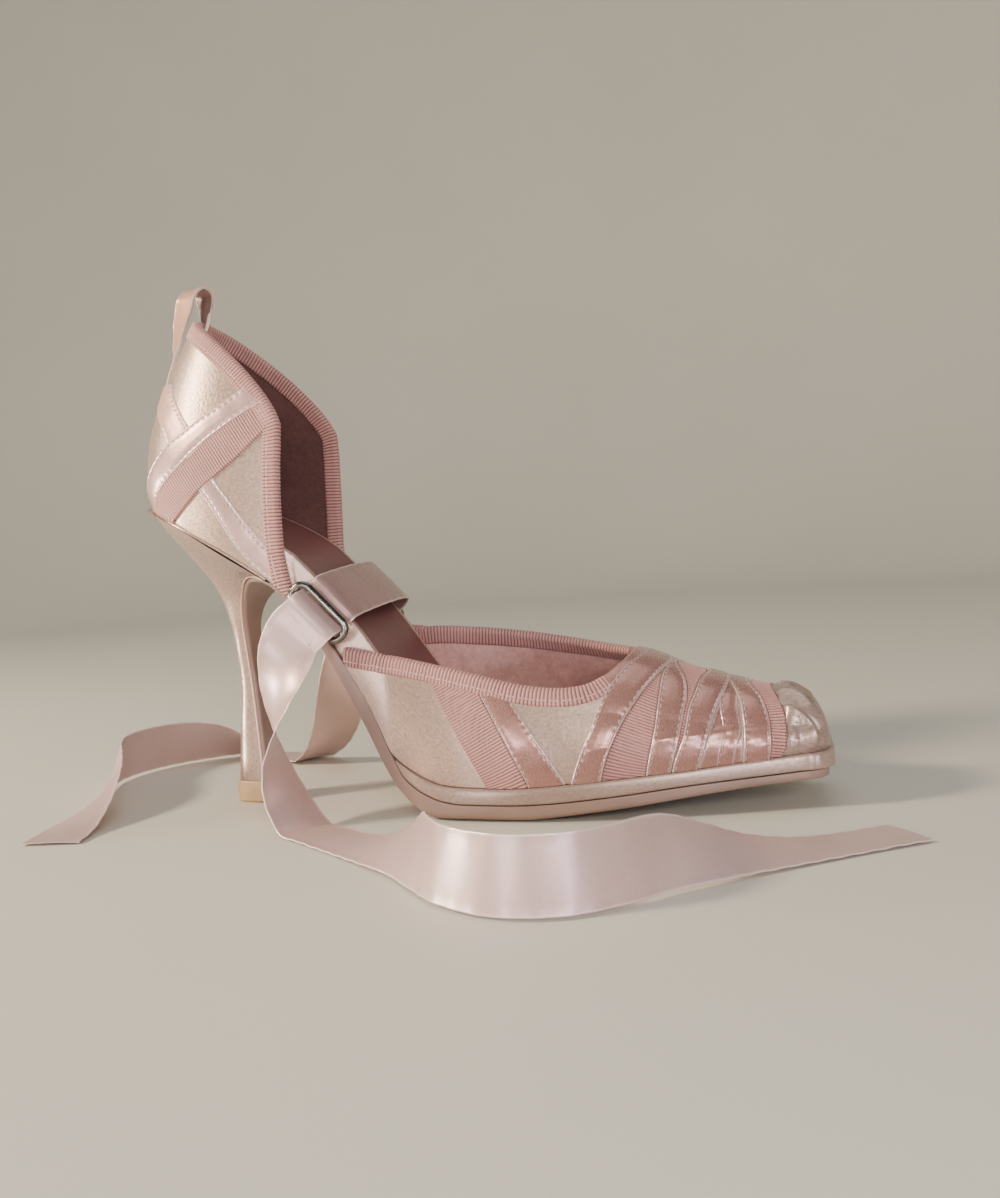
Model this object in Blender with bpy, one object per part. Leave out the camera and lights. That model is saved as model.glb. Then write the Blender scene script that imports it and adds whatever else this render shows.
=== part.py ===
"""Square-toe satin stiletto with side cut-outs, wire rings and a ribbon tie.

Frame: +X towards the toe, +Y to the wearer's left, +Z up, standing on z = 0 on its
forefoot tread and heel tip.  Tables are in millimetres, with x counted from the back
of the heel counter and y from the last's own centre line; place() turns them into
metres about the bottom centre of the shoe.
"""
import math
from collections import namedtuple

import bmesh
import bpy
from mathutils import Vector

# ---------------------------------------------------------------- driving sizes (mm)
MM = 0.001
LENGTH = 223.6            # back of the counter to the front of the rand
MIDDLE_X = LENGTH / 2     # origin, halfway along
MIDDLE_Y = 0.7            # origin, halfway across the outsole
REACH = 60                # cutters reach this far to each side
BEHIND = -12              # cutters reach back to here
ABOVE = 200               # and up to here
OVERSHOOT = 6             # hollows run on past the edges that they open
GAP_AT_RIDGE = 0.01       # overlap of the two cutters at the centre line
GAP = 0.3                 # between pieces that touch
UPPER_WALL = 1.8          # outer satin, backer and lining together
INSOLE_SHORT = 2.2        # insole ends this far behind the vamp's inner front
INSOLE_EASE = 0.3         # extra room round the insole's curved sides
RAND_REACH = 1.8          # how far rand and outsole stand out past the upper
TOE_FRONT = 222.0         # front of the vamp
TOE_CORNER = 9.0          # plan radius of the square toe's corners
TOE_FLAT = 11.0           # half of the toe's straight front
TOE_DROP = 13.0           # side radius where the toe's top turns down
TOE_DROP_Z = 20.7         # height of that radius' centre
COUNTER_SQUARE = 2.8      # exponent of the back upper's level sections
SIDE_SWELL = 1.2          # the upper's sides swell out this much above the feather line
SOLE_SET_BACK = 1.8       # outsole ends this far behind the rand's front
SOLE_TUCK = 0.3           # and is this much narrower on each side
SOLE_CHAMFER = 0.8        # rounded lower edge of the outsole
WAIST_NARROWER = 0.4      # the sole is this much narrower than the upper at the waist
WAIST_LENGTH = 18.0       # where it changes from one to the other, beside the ball
WAIST_END = 80.0          # x where that begins
BARE_WAIST_END = 88.0     # behind here no rand lies between outsole and upper
RAND_BEGIN = 90.0
RAND_ROUND = 0.5          # the rand's middle stands out past its edges
FLAP_THICK = 1.7          # outsole where it lies on the heel's breast
FLAP_CHAMFER = 0.3
TOP_PIECE_HEIGHT = 7.3
TOP_PIECE_REACH = 0.4     # wear piece stands out past the heel's foot
TOP_PIECE_SQUARE = 3.3    # exponent of its section
WING_TIP = 73.8           # back end of the vamp's wings
JOIN_X = 57               # last's tables change here from seat to waist
SEAT_REST = 102           # height of the insole's back end
RING_LENGTH = 24.0        # outside, along the waist
RING_HEIGHT = 9.6         # outside
RING_WIRE = 1.2           # radius
RING_CORNER = 3.2         # radius of the wire's centre line
RING_MID = (67.4, 65.9)   # x, z of the ring's centre
RING_OUT = 29.0           # distance of the ring's plane from the centre line
WAIST_PITCH = 46.9        # degrees that the waist falls towards the toe at the rings
KEEPER_FROM = -3.5        # keeper's two ends along the ring, from its middle
KEEPER_TO = 6.5
KEEPER_THICK = 0.9
RIBBON_WIDTH = 18.6
RIBBON_THICK = 0.6
LOOP_WIDTH = 10.0
LOOP_THICK = 1.2

SIDES = ("near", "far")   # the wearer's right and left

# ---------------------------------------------------------------- tables (mm)
# The last from the waist to the toe: lowest line of the outsole (ground), top of the
# outsole (tread), edge where the upper meets the sole (feather), top of the insole
# (sock), half widths on both sides at the feather line, height of the ridge above.
LastRow = namedtuple("LastRow", "x ground tread feather sock near far ridge")
LAST = [
    LastRow(57, 68.0, 71.3, 71.3, 84.0, 25.8, 25.6, 122.0),
    LastRow(60, 63.2, 67.5, 67.5, 80.8, 25.5, 25.3, 118.0),
    LastRow(65, 54.9, 60.8, 60.8, 75.3, 25.3, 25.0, 111.0),
    LastRow(70, 46.3, 54.2, 54.2, 69.4, 25.4, 25.0, 104.5),
    LastRow(74, 38.9, 48.2, 48.2, 64.3, 25.6, 25.0, 100.0),
    LastRow(80, 26.8, 38.0, 38.0, 56.4, 26.1, 25.4, 94.0),
    LastRow(85, 16.8, 27.8, 27.8, 49.2, 26.9, 26.0, 90.0),
    LastRow(88, 11.7, 20.8, 21.0, 44.8, 27.5, 26.5, 88.0),
    LastRow(92.6, 6.6, 12.6, 16.9, 37.9, 28.7, 27.6, 84.5),
    LastRow(99, 2.1, 8.3, 13.4, 29.2, 30.5, 29.6, 80.0),
    LastRow(106, 0.0, 5.8, 11.1, 21.6, 32.1, 31.7, 75.5),
    LastRow(112, 0.0, 5.1, 10.6, 17.6, 33.1, 33.2, 72.0),
    LastRow(125, 0.0, 5.0, 10.4, 14.8, 34.2, 35.3, 65.0),
    LastRow(132, 0.0, 5.1, 10.6, 14.5, 34.5, 35.9, 61.6),
    LastRow(140, 0.6, 5.5, 11.1, 14.8, 34.4, 36.2, 58.2),
    LastRow(155, 2.2, 6.8, 12.3, 15.8, 33.4, 35.4, 51.8),
    LastRow(164, 3.2, 7.7, 13.0, 16.5, 32.2, 33.9, 48.2),
    LastRow(175, 4.6, 8.9, 13.9, 17.3, 30.2, 31.2, 43.8),
    LastRow(184, 5.7, 9.7, 14.6, 18.0, 28.1, 28.7, 40.4),
    LastRow(193, 6.6, 10.3, 15.4, 18.8, 25.6, 26.0, 37.5),
    LastRow(201, 7.3, 10.8, 16.0, 19.5, 23.4, 23.8, 35.4),
    LastRow(210.2, 7.9, 11.4, 16.8, 20.2, 21.1, 21.4, 33.7),
    LastRow(214.2, 8.2, 11.7, 17.1, 20.5, 20.0, 20.0, 33.0),
    LastRow(224.5, 8.7, 12.2, 17.8, 21.0, 11.0, 11.0, 20.7),
]
# The seat behind the waist: the same feather and sock lines up to the back.
SeatRow = namedtuple("SeatRow", "x feather sock")
SEAT = [
    SeatRow(-6, 106.0, 111.6),
    SeatRow(3, 102.4, 109.0),
    SeatRow(12, 98.8, 106.2),
    SeatRow(22, 94.1, 102.6),
    SeatRow(33, 88.2, 98.0),
    SeatRow(43.6, 81.6, 92.8),
    SeatRow(51, 76.4, 88.3),
    SeatRow(57, 71.3, 84.0),
]
# The back upper, a level section a row: back and front ends, half widths.
CounterRow = namedtuple("CounterRow", "z back front near far")
COUNTER = [
    CounterRow(64, 4.0, 60.4, 27.0, 26.8),
    CounterRow(72, 3.6, 59.2, 27.3, 27.1),
    CounterRow(77, 3.4, 57.8, 27.6, 27.4),
    CounterRow(89, 3.0, 56.5, 28.2, 28.1),
    CounterRow(97, 2.7, 56.6, 28.5, 28.5),
    CounterRow(103, 2.3, 56.7, 28.4, 28.5),
    CounterRow(108, 0.6, 56.9, 28.2, 28.3),
    CounterRow(113, 0.0, 57.1, 27.9, 28.0),
    CounterRow(120, 0.5, 57.4, 27.2, 27.3),
    CounterRow(128, 2.1, 57.5, 26.0, 26.1),
    CounterRow(137, 5.2, 57.5, 24.0, 24.0),
    CounterRow(147, 9.6, 57.5, 21.4, 21.4),
    CounterRow(156, 14.4, 57.5, 19.0, 19.0),
    CounterRow(166, 20.9, 57.5, 16.6, 16.6),
    CounterRow(173, 25.6, 57.5, 15.0, 15.0),
]
# Side lines of the two top edges.
EdgePoint = namedtuple("EdgePoint", "x z")
TOPLINE_NEAR = [
    EdgePoint(62.0, 57.0), EdgePoint(73.6, 54.2), EdgePoint(88.0, 51.3),
    EdgePoint(104.4, 47.8), EdgePoint(119.4, 44.0), EdgePoint(131.0, 41.0),
    EdgePoint(142.2, 39.5), EdgePoint(150.6, 40.0), EdgePoint(155.5, 42.0),
    EdgePoint(159.0, 44.4), EdgePoint(162.4, 47.2), EdgePoint(165.4, 50.4),
]
TOPLINE_FAR = [
    EdgePoint(62.0, 58.2), EdgePoint(83.0, 56.8), EdgePoint(97.0, 56.2),
    EdgePoint(111.0, 54.8), EdgePoint(125.0, 52.9), EdgePoint(139.4, 50.4),
    EdgePoint(150.6, 48.3), EdgePoint(157.5, 47.2), EdgePoint(162.4, 47.2),
    EdgePoint(165.4, 50.4),
]
COLLAR = [
    EdgePoint(63.0, 112.0), EdgePoint(57.6, 119.5), EdgePoint(56.9, 125.6),
    EdgePoint(54.8, 130.9), EdgePoint(50.8, 136.9), EdgePoint(44.0, 144.8),
    EdgePoint(36.8, 151.8), EdgePoint(30.0, 157.7), EdgePoint(21.0, 164.8),
    EdgePoint(8.0, 174.0),
]
# The heel and the flap of the outsole on its front, from the seat down: the flap's
# visible face with its half width, the heel's back with its half width, and how square
# the section is (2 is round).
HeelRow = namedtuple("HeelRow", "face_x face_z flap back_x back_z half square")
HEEL = [
    HeelRow(49.8, 74.5, 24.9, -0.4, 107.5, 28.6, 2.8),
    HeelRow(47.0, 75.9, 24.2, 2.4, 101.6, 26.9, 2.7),
    HeelRow(43.5, 76.4, 22.2, 5.4, 96.4, 24.2, 2.6),
    HeelRow(40.0, 75.9, 18.8, 9.4, 90.4, 19.8, 2.5),
    HeelRow(36.7, 73.4, 14.2, 14.6, 83.2, 14.6, 2.4),
    HeelRow(33.7, 69.0, 9.0, 20.2, 74.6, 9.2, 2.4),
    HeelRow(32.2, 62.0, 5.9, 23.8, 63.4, 6.0, 2.6),
    HeelRow(32.6, 52.0, 4.8, 25.5, 52.2, 4.9, 2.8),
    HeelRow(33.7, 40.0, 4.7, 26.3, 40.4, 4.8, 2.8),
    HeelRow(34.8, 27.0, 5.3, 25.1, 27.2, 5.4, 2.8),
    HeelRow(35.8, 16.0, 6.0, 24.3, 16.0, 6.1, 2.8),
    HeelRow(37.2, TOP_PIECE_HEIGHT + GAP, 6.9, 23.5, TOP_PIECE_HEIGHT + GAP, 6.9, 2.8),
]
# Middle line of the pull loop, from its foot on the outside to its foot inside.
LOOP = [
    EdgePoint(5.0, 139.0), EdgePoint(8.0, 147.0), EdgePoint(10.8, 158.0),
    EdgePoint(12.4, 168.0), EdgePoint(14.2, 174.8), EdgePoint(17.4, 177.6),
    EdgePoint(21.0, 175.8), EdgePoint(23.2, 172.0), EdgePoint(23.9, 168.2),
    EdgePoint(23.4, 164.6), EdgePoint(21.8, 160.4), EdgePoint(19.1, 154.4),
]
# The ribbon over the waist: distance across, height over the ring's middle.
BandPoint = namedtuple("BandPoint", "y rise")
BAND = [
    BandPoint(-26.3, 2.2), BandPoint(-26.0, 5.2), BandPoint(-24.0, 7.4),
    BandPoint(-15.0, 9.2), BandPoint(-2.0, 11.0), BandPoint(11.0, 12.0),
    BandPoint(19.5, 11.6), BandPoint(24.4, 9.4), BandPoint(26.2, 5.8),
    BandPoint(26.3, 2.2),
]
# The free end threads out through the ring and over the keeper.
ThreadPoint = namedtuple("ThreadPoint", "out rise")
THREAD = [
    ThreadPoint(26.8, 1.2), ThreadPoint(28.9, 0.5), ThreadPoint(31.0, -0.5),
    ThreadPoint(32.5, -2.5), ThreadPoint(33.0, -5.5), ThreadPoint(33.4, -10.0),
]
THREAD_TILT = -47         # the width lies along the ring there
# Past the ring each free end: middle line, and the way its width points (heading in plan
# and tilt, in degrees).  A height of 0 means that it lies on the ground.
RibbonPoint = namedtuple("RibbonPoint", "x y z heading tilt")
RIBBON_RIGHT = [
    RibbonPoint(57.5, -35.4, 51.0, -15, -50),
    RibbonPoint(54.9, -36.6, 41.0, -42, -36),
    RibbonPoint(53.8, -37.6, 30.0, -66, -20),
    RibbonPoint(55.0, -39.2, 18.5, -92, -8),
    RibbonPoint(59.6, -42.4, 8.0, -114, 0),
    RibbonPoint(68.0, -48.0, 0, -124, 0),
    RibbonPoint(79.0, -56.4, 0, -128, 0),
    RibbonPoint(90.5, -65.8, 0, -131, -6),
    RibbonPoint(101.5, -76.2, 0, -136, -24),
    RibbonPoint(111.0, -88.0, 0, -144, -52),
    RibbonPoint(118.5, -101.5, 0, -149, -72),
    RibbonPoint(128.0, -114.0, 0, -136, -80),
    RibbonPoint(142.0, -122.0, 0, -106, -82),
    RibbonPoint(157.5, -121.0, 0, -72, -82),
    RibbonPoint(170.0, -111.5, 0, -46, -78),
    RibbonPoint(179.5, -98.5, 0, -38, -64),
    RibbonPoint(190.0, -86.5, 0, -43, -38),
    RibbonPoint(201.5, -76.0, 0, -48, -16),
    RibbonPoint(214.0, -66.5, 0, -52, -4),
    RibbonPoint(227.0, -57.5, 0, -55, 0),
    RibbonPoint(240.0, -49.0, 0, -57, 0),
]
RIBBON_LEFT = [
    RibbonPoint(54.0, 36.4, 50.0, 6, -46),
    RibbonPoint(48.6, 41.0, 39.0, 16, -36),
    RibbonPoint(43.6, 47.0, 27.5, 28, -22),
    RibbonPoint(38.0, 54.0, 16.0, 38, -8),
    RibbonPoint(30.0, 61.5, 6.0, 46, 0),
    RibbonPoint(19.0, 68.0, 0, 56, -2),
    RibbonPoint(6.0, 72.5, 0, 70, -12),
    RibbonPoint(-8.0, 73.5, 0, 86, -34),
    RibbonPoint(-22.0, 69.0, 0, 108, -58),
    RibbonPoint(-33.0, 58.5, 0, 134, -72),
    RibbonPoint(-39.0, 43.5, 0, 160, -76),
    RibbonPoint(-39.0, 27.0, 0, 186, -76),
    RibbonPoint(-33.0, 11.5, 0, 207, -74),
    RibbonPoint(-25.5, -3.0, 0, 204, -66),
    RibbonPoint(-19.5, -18.0, 0, 196, -48),
    RibbonPoint(-16.0, -33.5, 0, 190, -24),
    RibbonPoint(-13.5, -49.0, 0, 188, -5),
    RibbonPoint(-11.5, -62.0, 0, 188, 0),
]

# ---------------------------------------------------------------- colours (linear)
Finish = namedtuple("Finish", "color roughness metallic")
SATIN = Finish((0.69, 0.55, 0.47), 0.38, 0.0)
ROSE_LINING = Finish((0.36, 0.14, 0.13), 0.5, 0.0)
NUDE_SOLE = Finish((0.56, 0.36, 0.24), 0.45, 0.0)
TAN_RUBBER = Finish((0.47, 0.33, 0.20), 0.5, 0.0)
RIBBON_SATIN = Finish((0.66, 0.50, 0.47), 0.35, 0.0)
BAND_SATIN = Finish((0.45, 0.29, 0.27), 0.4, 0.0)
GUNMETAL = Finish((0.20, 0.19, 0.18), 0.22, 1.0)


# ---------------------------------------------------------------- small tools
def place(x, y, z):
    """Table millimetres to world metres."""
    return Vector(((x - MIDDLE_X) * MM, (y - MIDDLE_Y) * MM, z * MM))


def tangents(xs, ys):
    """Slopes at the rows of a table, without overshoot between them."""
    runs = [b - a for a, b in zip(xs, xs[1:])]
    steps = [(b - a) / run for a, b, run in zip(ys, ys[1:], runs)]
    slopes = [steps[0]]
    for left, right in zip(steps, steps[1:]):
        level = left * right <= 0
        slopes.append(0.0 if level else 2 * left * right / (left + right))
    slopes.append(steps[-1])
    return slopes


def read(rows, key, column, at):
    """Value of one column of a table at any place along its key column."""
    xs = [getattr(row, key) for row in rows]
    ys = [getattr(row, column) for row in rows]
    slopes = tangents(xs, ys)
    at = min(max(at, xs[0]), xs[-1])
    i = max(k for k in range(len(xs) - 1) if xs[k] <= at)
    run = xs[i + 1] - xs[i]
    t = (at - xs[i]) / run
    rise = (2 * t ** 3 - 3 * t ** 2 + 1) * ys[i] + (3 * t ** 2 - 2 * t ** 3) * ys[i + 1]
    bend = (t ** 3 - 2 * t ** 2 + t) * slopes[i] + (t ** 3 - t ** 2) * slopes[i + 1]
    return rise + bend * run


def refine(values, parts):
    """The values with each step between them cut into equal parts."""
    out = []
    for a, b in zip(values, values[1:]):
        out += [a + (b - a) * k / parts for k in range(parts)]
    return out + [values[-1]]


def smooth_path(points, parts):
    """Points on a smooth curve through the given ones."""
    points = [Vector(p) for p in points]
    ends = [2 * points[0] - points[1]] + points + [2 * points[-1] - points[-2]]
    out = []
    for a, b, c, d in zip(ends, ends[1:], ends[2:], ends[3:]):
        for k in range(parts):
            t = k / parts
            out.append(0.5 * (2 * b + (c - a) * t + (2 * a - 5 * b + 4 * c - d) * t * t
                              + (3 * b - a - 3 * c + d) * t ** 3))
    return out + [points[-1]]


def new_material(name, finish):
    material = bpy.data.materials.new(name)
    material.use_nodes = True
    shader = material.node_tree.nodes["Principled BSDF"]
    shader.inputs["Base Color"].default_value = (*finish.color, 1.0)
    shader.inputs["Roughness"].default_value = finish.roughness
    shader.inputs["Metallic"].default_value = finish.metallic
    material.diffuse_color = (*finish.color, 1.0)
    return material


def add_mesh(name, mesh, collection, finish=None):
    piece = bpy.data.objects.new(name, mesh)
    collection.objects.link(piece)
    if finish:
        mesh.materials.append(new_material(name, finish))
    return piece


def loft(name, rings, collection, finish=None, thin=False):
    """A closed solid through rings of equally many points, with flat ends.

    A thin twisted band has the same diagonals on both faces, so it keeps its thickness.
    """
    shape = bmesh.new()
    verts = [[shape.verts.new(point) for point in ring] for ring in rings]
    count = len(rings[0])
    for a, b in zip(verts, verts[1:]):
        for i in range(count):
            j = (i + 1) % count
            if not thin:
                shape.faces.new((a[i], a[j], b[j], b[i]))
            elif i < count / 2:
                shape.faces.new((a[i], a[j], b[j]))
                shape.faces.new((a[i], b[j], b[i]))
            else:
                shape.faces.new((a[i], a[j], b[i]))
                shape.faces.new((a[j], b[j], b[i]))
    shape.faces.new(verts[0])
    shape.faces.new(verts[-1])
    bmesh.ops.recalc_face_normals(shape, faces=shape.faces)
    mesh = bpy.data.meshes.new(name)
    shape.to_mesh(mesh)
    shape.free()
    mesh.shade_smooth()
    mesh.set_sharp_from_angle(angle=math.radians(35))
    return add_mesh(name, mesh, collection, finish)


def side_prism(name, outline, start, end):
    """A cutter with the given side outline, reaching across from y start to y end."""
    rings = [[place(p.x, y, p.z) for p in outline] for y in (start, end)]
    cutter = loft(name, rings, CUTTERS)
    hide_cutter(cutter)
    return cutter


def hide_cutter(cutter):
    cutter.hide_render = True
    cutter.display_type = "WIRE"


def cut(piece, cutter):
    modifier = piece.modifiers.new("cut by " + cutter.name, "BOOLEAN")
    modifier.operation = "DIFFERENCE"
    modifier.solver = "EXACT"
    modifier.object = cutter


def strip(name, middle, widths, width, thick, collection, finish):
    """A flat band along a middle line; widths gives the way across at each point."""
    rings = []
    for i, point in enumerate(middle):
        before = middle[max(i - 1, 0)]
        after = middle[min(i + 1, len(middle) - 1)]
        along = (after - before).normalized()
        across = (widths[i] - widths[i].dot(along) * along).normalized()
        up = along.cross(across)
        side = across * width / 2
        face = up * thick / 2
        rings.append([point - side - face, point + side - face,
                      point + side + face, point - side + face])
    rings = [[place(*corner) for corner in ring] for ring in rings]
    return loft(name, rings, collection, finish, thin=True)


# ---------------------------------------------------------------- the last's own shape
def last(column, x):
    return read(LAST, "x", column, x)


def feather(x):
    """Edge line between upper and sole, along the whole shoe."""
    return last("feather", x) if x >= LAST[0].x else read(SEAT, "x", "feather", x)


def sock(x):
    return last("sock", x) if x >= LAST[0].x else read(SEAT, "x", "sock", x)


def slope_gap(x):
    """A gap square to the feather line, measured upright."""
    rise = (feather(x + 1) - feather(x - 1)) / 2
    return GAP * math.hypot(1.0, rise)


def fullness(x):
    """Exponent of the cross section: rounder at the instep, squarer at the toe."""
    return 2.3 + 0.4 * min(max((x - 170) / 40, 0), 1)


def half_width(side, x, inset):
    """Half width of the upper at the feather line, on one side (near or far)."""
    corner_x = TOE_FRONT - TOE_CORNER
    if x <= corner_x:
        return last(side, x) - inset
    radius = TOE_CORNER - inset
    return TOE_FLAT + math.sqrt(max(radius ** 2 - (x - corner_x) ** 2, 0))


def ridge(x, inset):
    """Height of the upper's middle line."""
    drop_x = TOE_FRONT - TOE_DROP
    if x <= drop_x:
        return last("ridge", x) - inset
    radius = TOE_DROP - inset
    return TOE_DROP_Z + math.sqrt(max(radius ** 2 - (x - drop_x) ** 2, 0))


def swell(height_share):
    """Side swell of the upper at a share of its full height."""
    return SIDE_SWELL * math.sin(math.pi * min(max(height_share, 0) / 0.5, 1))


def upper_reach(side, x, z, inset):
    """Distance of the front upper's surface from the centre line at a height."""
    tall = ridge(x, inset) - feather(x)
    share = min(max((z - feather(x)) / tall, 0), 1)
    power = fullness(x)
    return half_width(side, x, inset) * (1 - share ** power) ** (1 / power) + swell(share)


def upper_ring(x, inset, skirt):
    """Cross section of the front upper from the near feather to the far one."""
    base = feather(x)
    tall = ridge(x, inset) - base
    power = fullness(x)
    ring = [place(x, -half_width("near", x, inset), base - skirt)] if skirt else []
    turns = 22
    for k in range(turns + 1):
        angle = math.pi * k / turns
        share = math.sin(angle) ** (2 / power)
        side = "near" if k <= turns / 2 else "far"
        reach = abs(math.cos(angle)) ** (2 / power) * half_width(side, x, inset)
        reach += swell(share) * min(1, abs(math.cos(angle)) * 4)
        y = -reach if side == "near" else reach
        ring.append(place(x, y, base + tall * share))
    if skirt:
        ring.append(place(x, half_width("far", x, inset), base - skirt))
    return ring


def counter_reach(side, x, z, inset):
    """Distance of the back upper's surface from the centre line."""
    back = read(COUNTER, "z", "back", z) + inset
    deep = read(COUNTER, "z", "front", z) - back
    share = min(max((x - back) / deep, 0), 1)
    power = COUNTER_SQUARE
    full = read(COUNTER, "z", side, z) - inset
    return full * (1 - (1 - share) ** power) ** (1 / power)


def counter_ring(z, inset, ahead):
    """Level section of the back upper, from the near front round the back."""
    back = read(COUNTER, "z", "back", z) + inset
    front = read(COUNTER, "z", "front", z)
    ring = []
    turns = 24
    for k in range(turns + 1):
        angle = math.pi * (k / turns - 0.5)
        side = "near" if angle < 0 else "far"
        across = abs(math.sin(angle)) ** (2 / COUNTER_SQUARE)
        depth = 1 - math.cos(angle) ** (2 / COUNTER_SQUARE)
        y = (read(COUNTER, "z", side, z) - inset) * math.copysign(across, angle)
        ring.append(place(back + (front - back) * depth, y, z))
    if ahead:
        near = place(front + ahead, -read(COUNTER, "z", "near", z) + inset, z)
        far = place(front + ahead, read(COUNTER, "z", "far", z) - inset, z)
        ring = [near] + ring + [far]
    return ring


def stations(start, end):
    """Places along the front of the last, closer together round the toe."""
    rows = [row.x for row in LAST if start < row.x < TOE_FRONT - TOE_DROP - 1]
    rows = refine([start] + rows + [TOE_FRONT - TOE_DROP], 2)
    bend = TOE_FRONT - TOE_DROP
    steps = 7
    toe = [bend + (end - bend) * math.sin(math.pi / 2 * k / steps) for k in range(1, steps + 1)]
    return [x for x in rows if x < end] + toe


def seat_stations():
    """Places along the seat, from its back to the waist."""
    waist = [row.x for row in LAST if row.x <= LAST[0].x + 8]
    return refine([row.x for row in SEAT] + waist, 2)


# ---------------------------------------------------------------- pieces
def build_vamp():
    """Hollow front upper: two wings that join over the toes."""
    outer = [upper_ring(x, 0, 0) for x in stations(WING_TIP, TOE_FRONT)]
    vamp = loft("vamp", outer, SHOE, SATIN)
    inner_rows = stations(WING_TIP - OVERSHOOT, TOE_FRONT - UPPER_WALL)
    inner = loft("vamp_hollow", [upper_ring(x, UPPER_WALL, 4) for x in inner_rows], CUTTERS)
    hide_cutter(inner)
    above = [EdgePoint(TOPLINE_NEAR[-1].x + 1, ABOVE), EdgePoint(TOPLINE_NEAR[0].x, ABOVE)]
    cut(vamp, inner)
    cut(vamp, side_prism("vamp_opening_near", TOPLINE_NEAR + above, -REACH, GAP_AT_RIDGE))
    cut(vamp, side_prism("vamp_opening_far", TOPLINE_FAR + above, 0, REACH))


def build_quarter():
    """Hollow back upper round the heel, open in front and above."""
    heights = refine([row.z for row in COUNTER], 2)
    quarter = loft("quarter", [counter_ring(z, 0, 0) for z in heights], SHOE, SATIN)
    inner_rings = [counter_ring(z, UPPER_WALL, 1.5 * OVERSHOOT) for z in heights]
    overshoot = Vector((0, 0, OVERSHOOT * MM))
    below = [point - overshoot for point in inner_rings[0]]
    above = [point + overshoot for point in inner_rings[-1]]
    inner = loft("quarter_hollow", [below] + inner_rings + [above], CUTTERS)
    hide_cutter(inner)
    ahead = LAST[0].x + 4 * OVERSHOOT
    collar = COLLAR + [EdgePoint(BEHIND, COLLAR[-1].z + OVERSHOOT), EdgePoint(BEHIND, ABOVE),
                       EdgePoint(ahead, ABOVE), EdgePoint(ahead, COLLAR[0].z)]
    seat = [EdgePoint(x, feather(x)) for x in seat_stations()]
    seat += [EdgePoint(seat[-1].x + OVERSHOOT, 50), EdgePoint(BEHIND, 50),
             EdgePoint(BEHIND, seat[0].z)]
    cut(quarter, inner)
    cut(quarter, side_prism("quarter_collar", collar, -REACH, REACH))
    cut(quarter, side_prism("quarter_seat", seat, -REACH, REACH))


def insole_ring(x):
    """Cross section of the padded insole: covered sides, dished top."""
    base = feather(x)
    cup = 1.6 if x < 100 else max(0.4, 1.6 - (x - 100) / 12)
    arch = 2.4 * math.exp(-((x - 80) / 16) ** 2)
    inset = UPPER_WALL + GAP + INSOLE_EASE
    ring = []
    for side, sign in (("near", -1), ("far", 1)):
        edge = sock(x) + cup + (arch if side == "far" else 0)
        if x < JOIN_X:
            wide_low = counter_reach(side, x, base, inset)
            wide_top = min(wide_low, counter_reach(side, x, edge, inset))
        else:
            wide_low = half_width(side, x, inset)
            wide_top = upper_reach(side, x, edge, inset)
        lean = min(0.8, wide_top / 6)
        points = [place(x, sign * wide_low, base), place(x, sign * wide_top, edge - lean),
                  place(x, sign * (wide_top - lean), edge),
                  place(x, sign * wide_top * 0.5, sock(x) + (edge - sock(x)) * 0.22)]
        ring.append(points)
    near, far = ring
    return near + [place(x, 0, sock(x))] + far[::-1]


def build_insole():
    """Board and padding from the seat to the toe, wedge-thick at the waist."""
    back = read(COUNTER, "z", "back", SEAT_REST) + UPPER_WALL + GAP
    blunt = (back + 1.6, back + 4)
    seat_rows = [row.x for row in SEAT if blunt[-1] < row.x < JOIN_X]
    rows = refine([*blunt, *seat_rows, JOIN_X], 2)[:-1]
    end = TOE_FRONT - UPPER_WALL - GAP - INSOLE_SHORT
    rows += stations(JOIN_X, end)
    loft("insole", [insole_ring(x) for x in rows], SHOE, ROSE_LINING)


def outsole_outline(side, x, length):
    """Half width of outsole and rand: a ledge at the toes, drawn in at the waist."""
    share = min(max((x - WAIST_END) / WAIST_LENGTH, 0), 1)
    ledge = RAND_REACH * share - WAIST_NARROWER * (1 - share)
    corner_x = length - TOE_CORNER
    if x <= corner_x:
        return last(side, min(x, TOE_FRONT - TOE_CORNER)) + ledge
    start = last(side, TOE_FRONT - TOE_CORNER) + ledge
    turned = math.sqrt(max(1 - ((x - corner_x) / TOE_CORNER) ** 2, 0))
    return start - TOE_CORNER * (1 - turned)


def sole_ring(low, high, near, far, chamfer):
    """Outsole section between two side points, its lower corners eased."""
    low = Vector(low)
    high = Vector(high)
    eased = low + (high - low).normalized() * chamfer
    corners = [(high, -near), (eased, -near), (low, -near + chamfer),
               (low, far - chamfer), (eased, far), (high, far)]
    return [place(point.x, y, point.y) for point, y in corners]


def flap_rows():
    """Face points of the flap with the way into the heel at each."""
    face = [Vector((row.face_x, row.face_z)) for row in HEEL]
    waist = Vector((LAST[0].x, LAST[0].ground))
    out = []
    for i, point in enumerate(face):
        before = face[i - 1] if i else waist
        after = face[min(i + 1, len(face) - 1)]
        along = (after - before).normalized()
        into = Vector((along.y, -along.x))
        if i == len(face) - 1:
            into = Vector((-1, 0))
        out.append((point, into))
    return out


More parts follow.
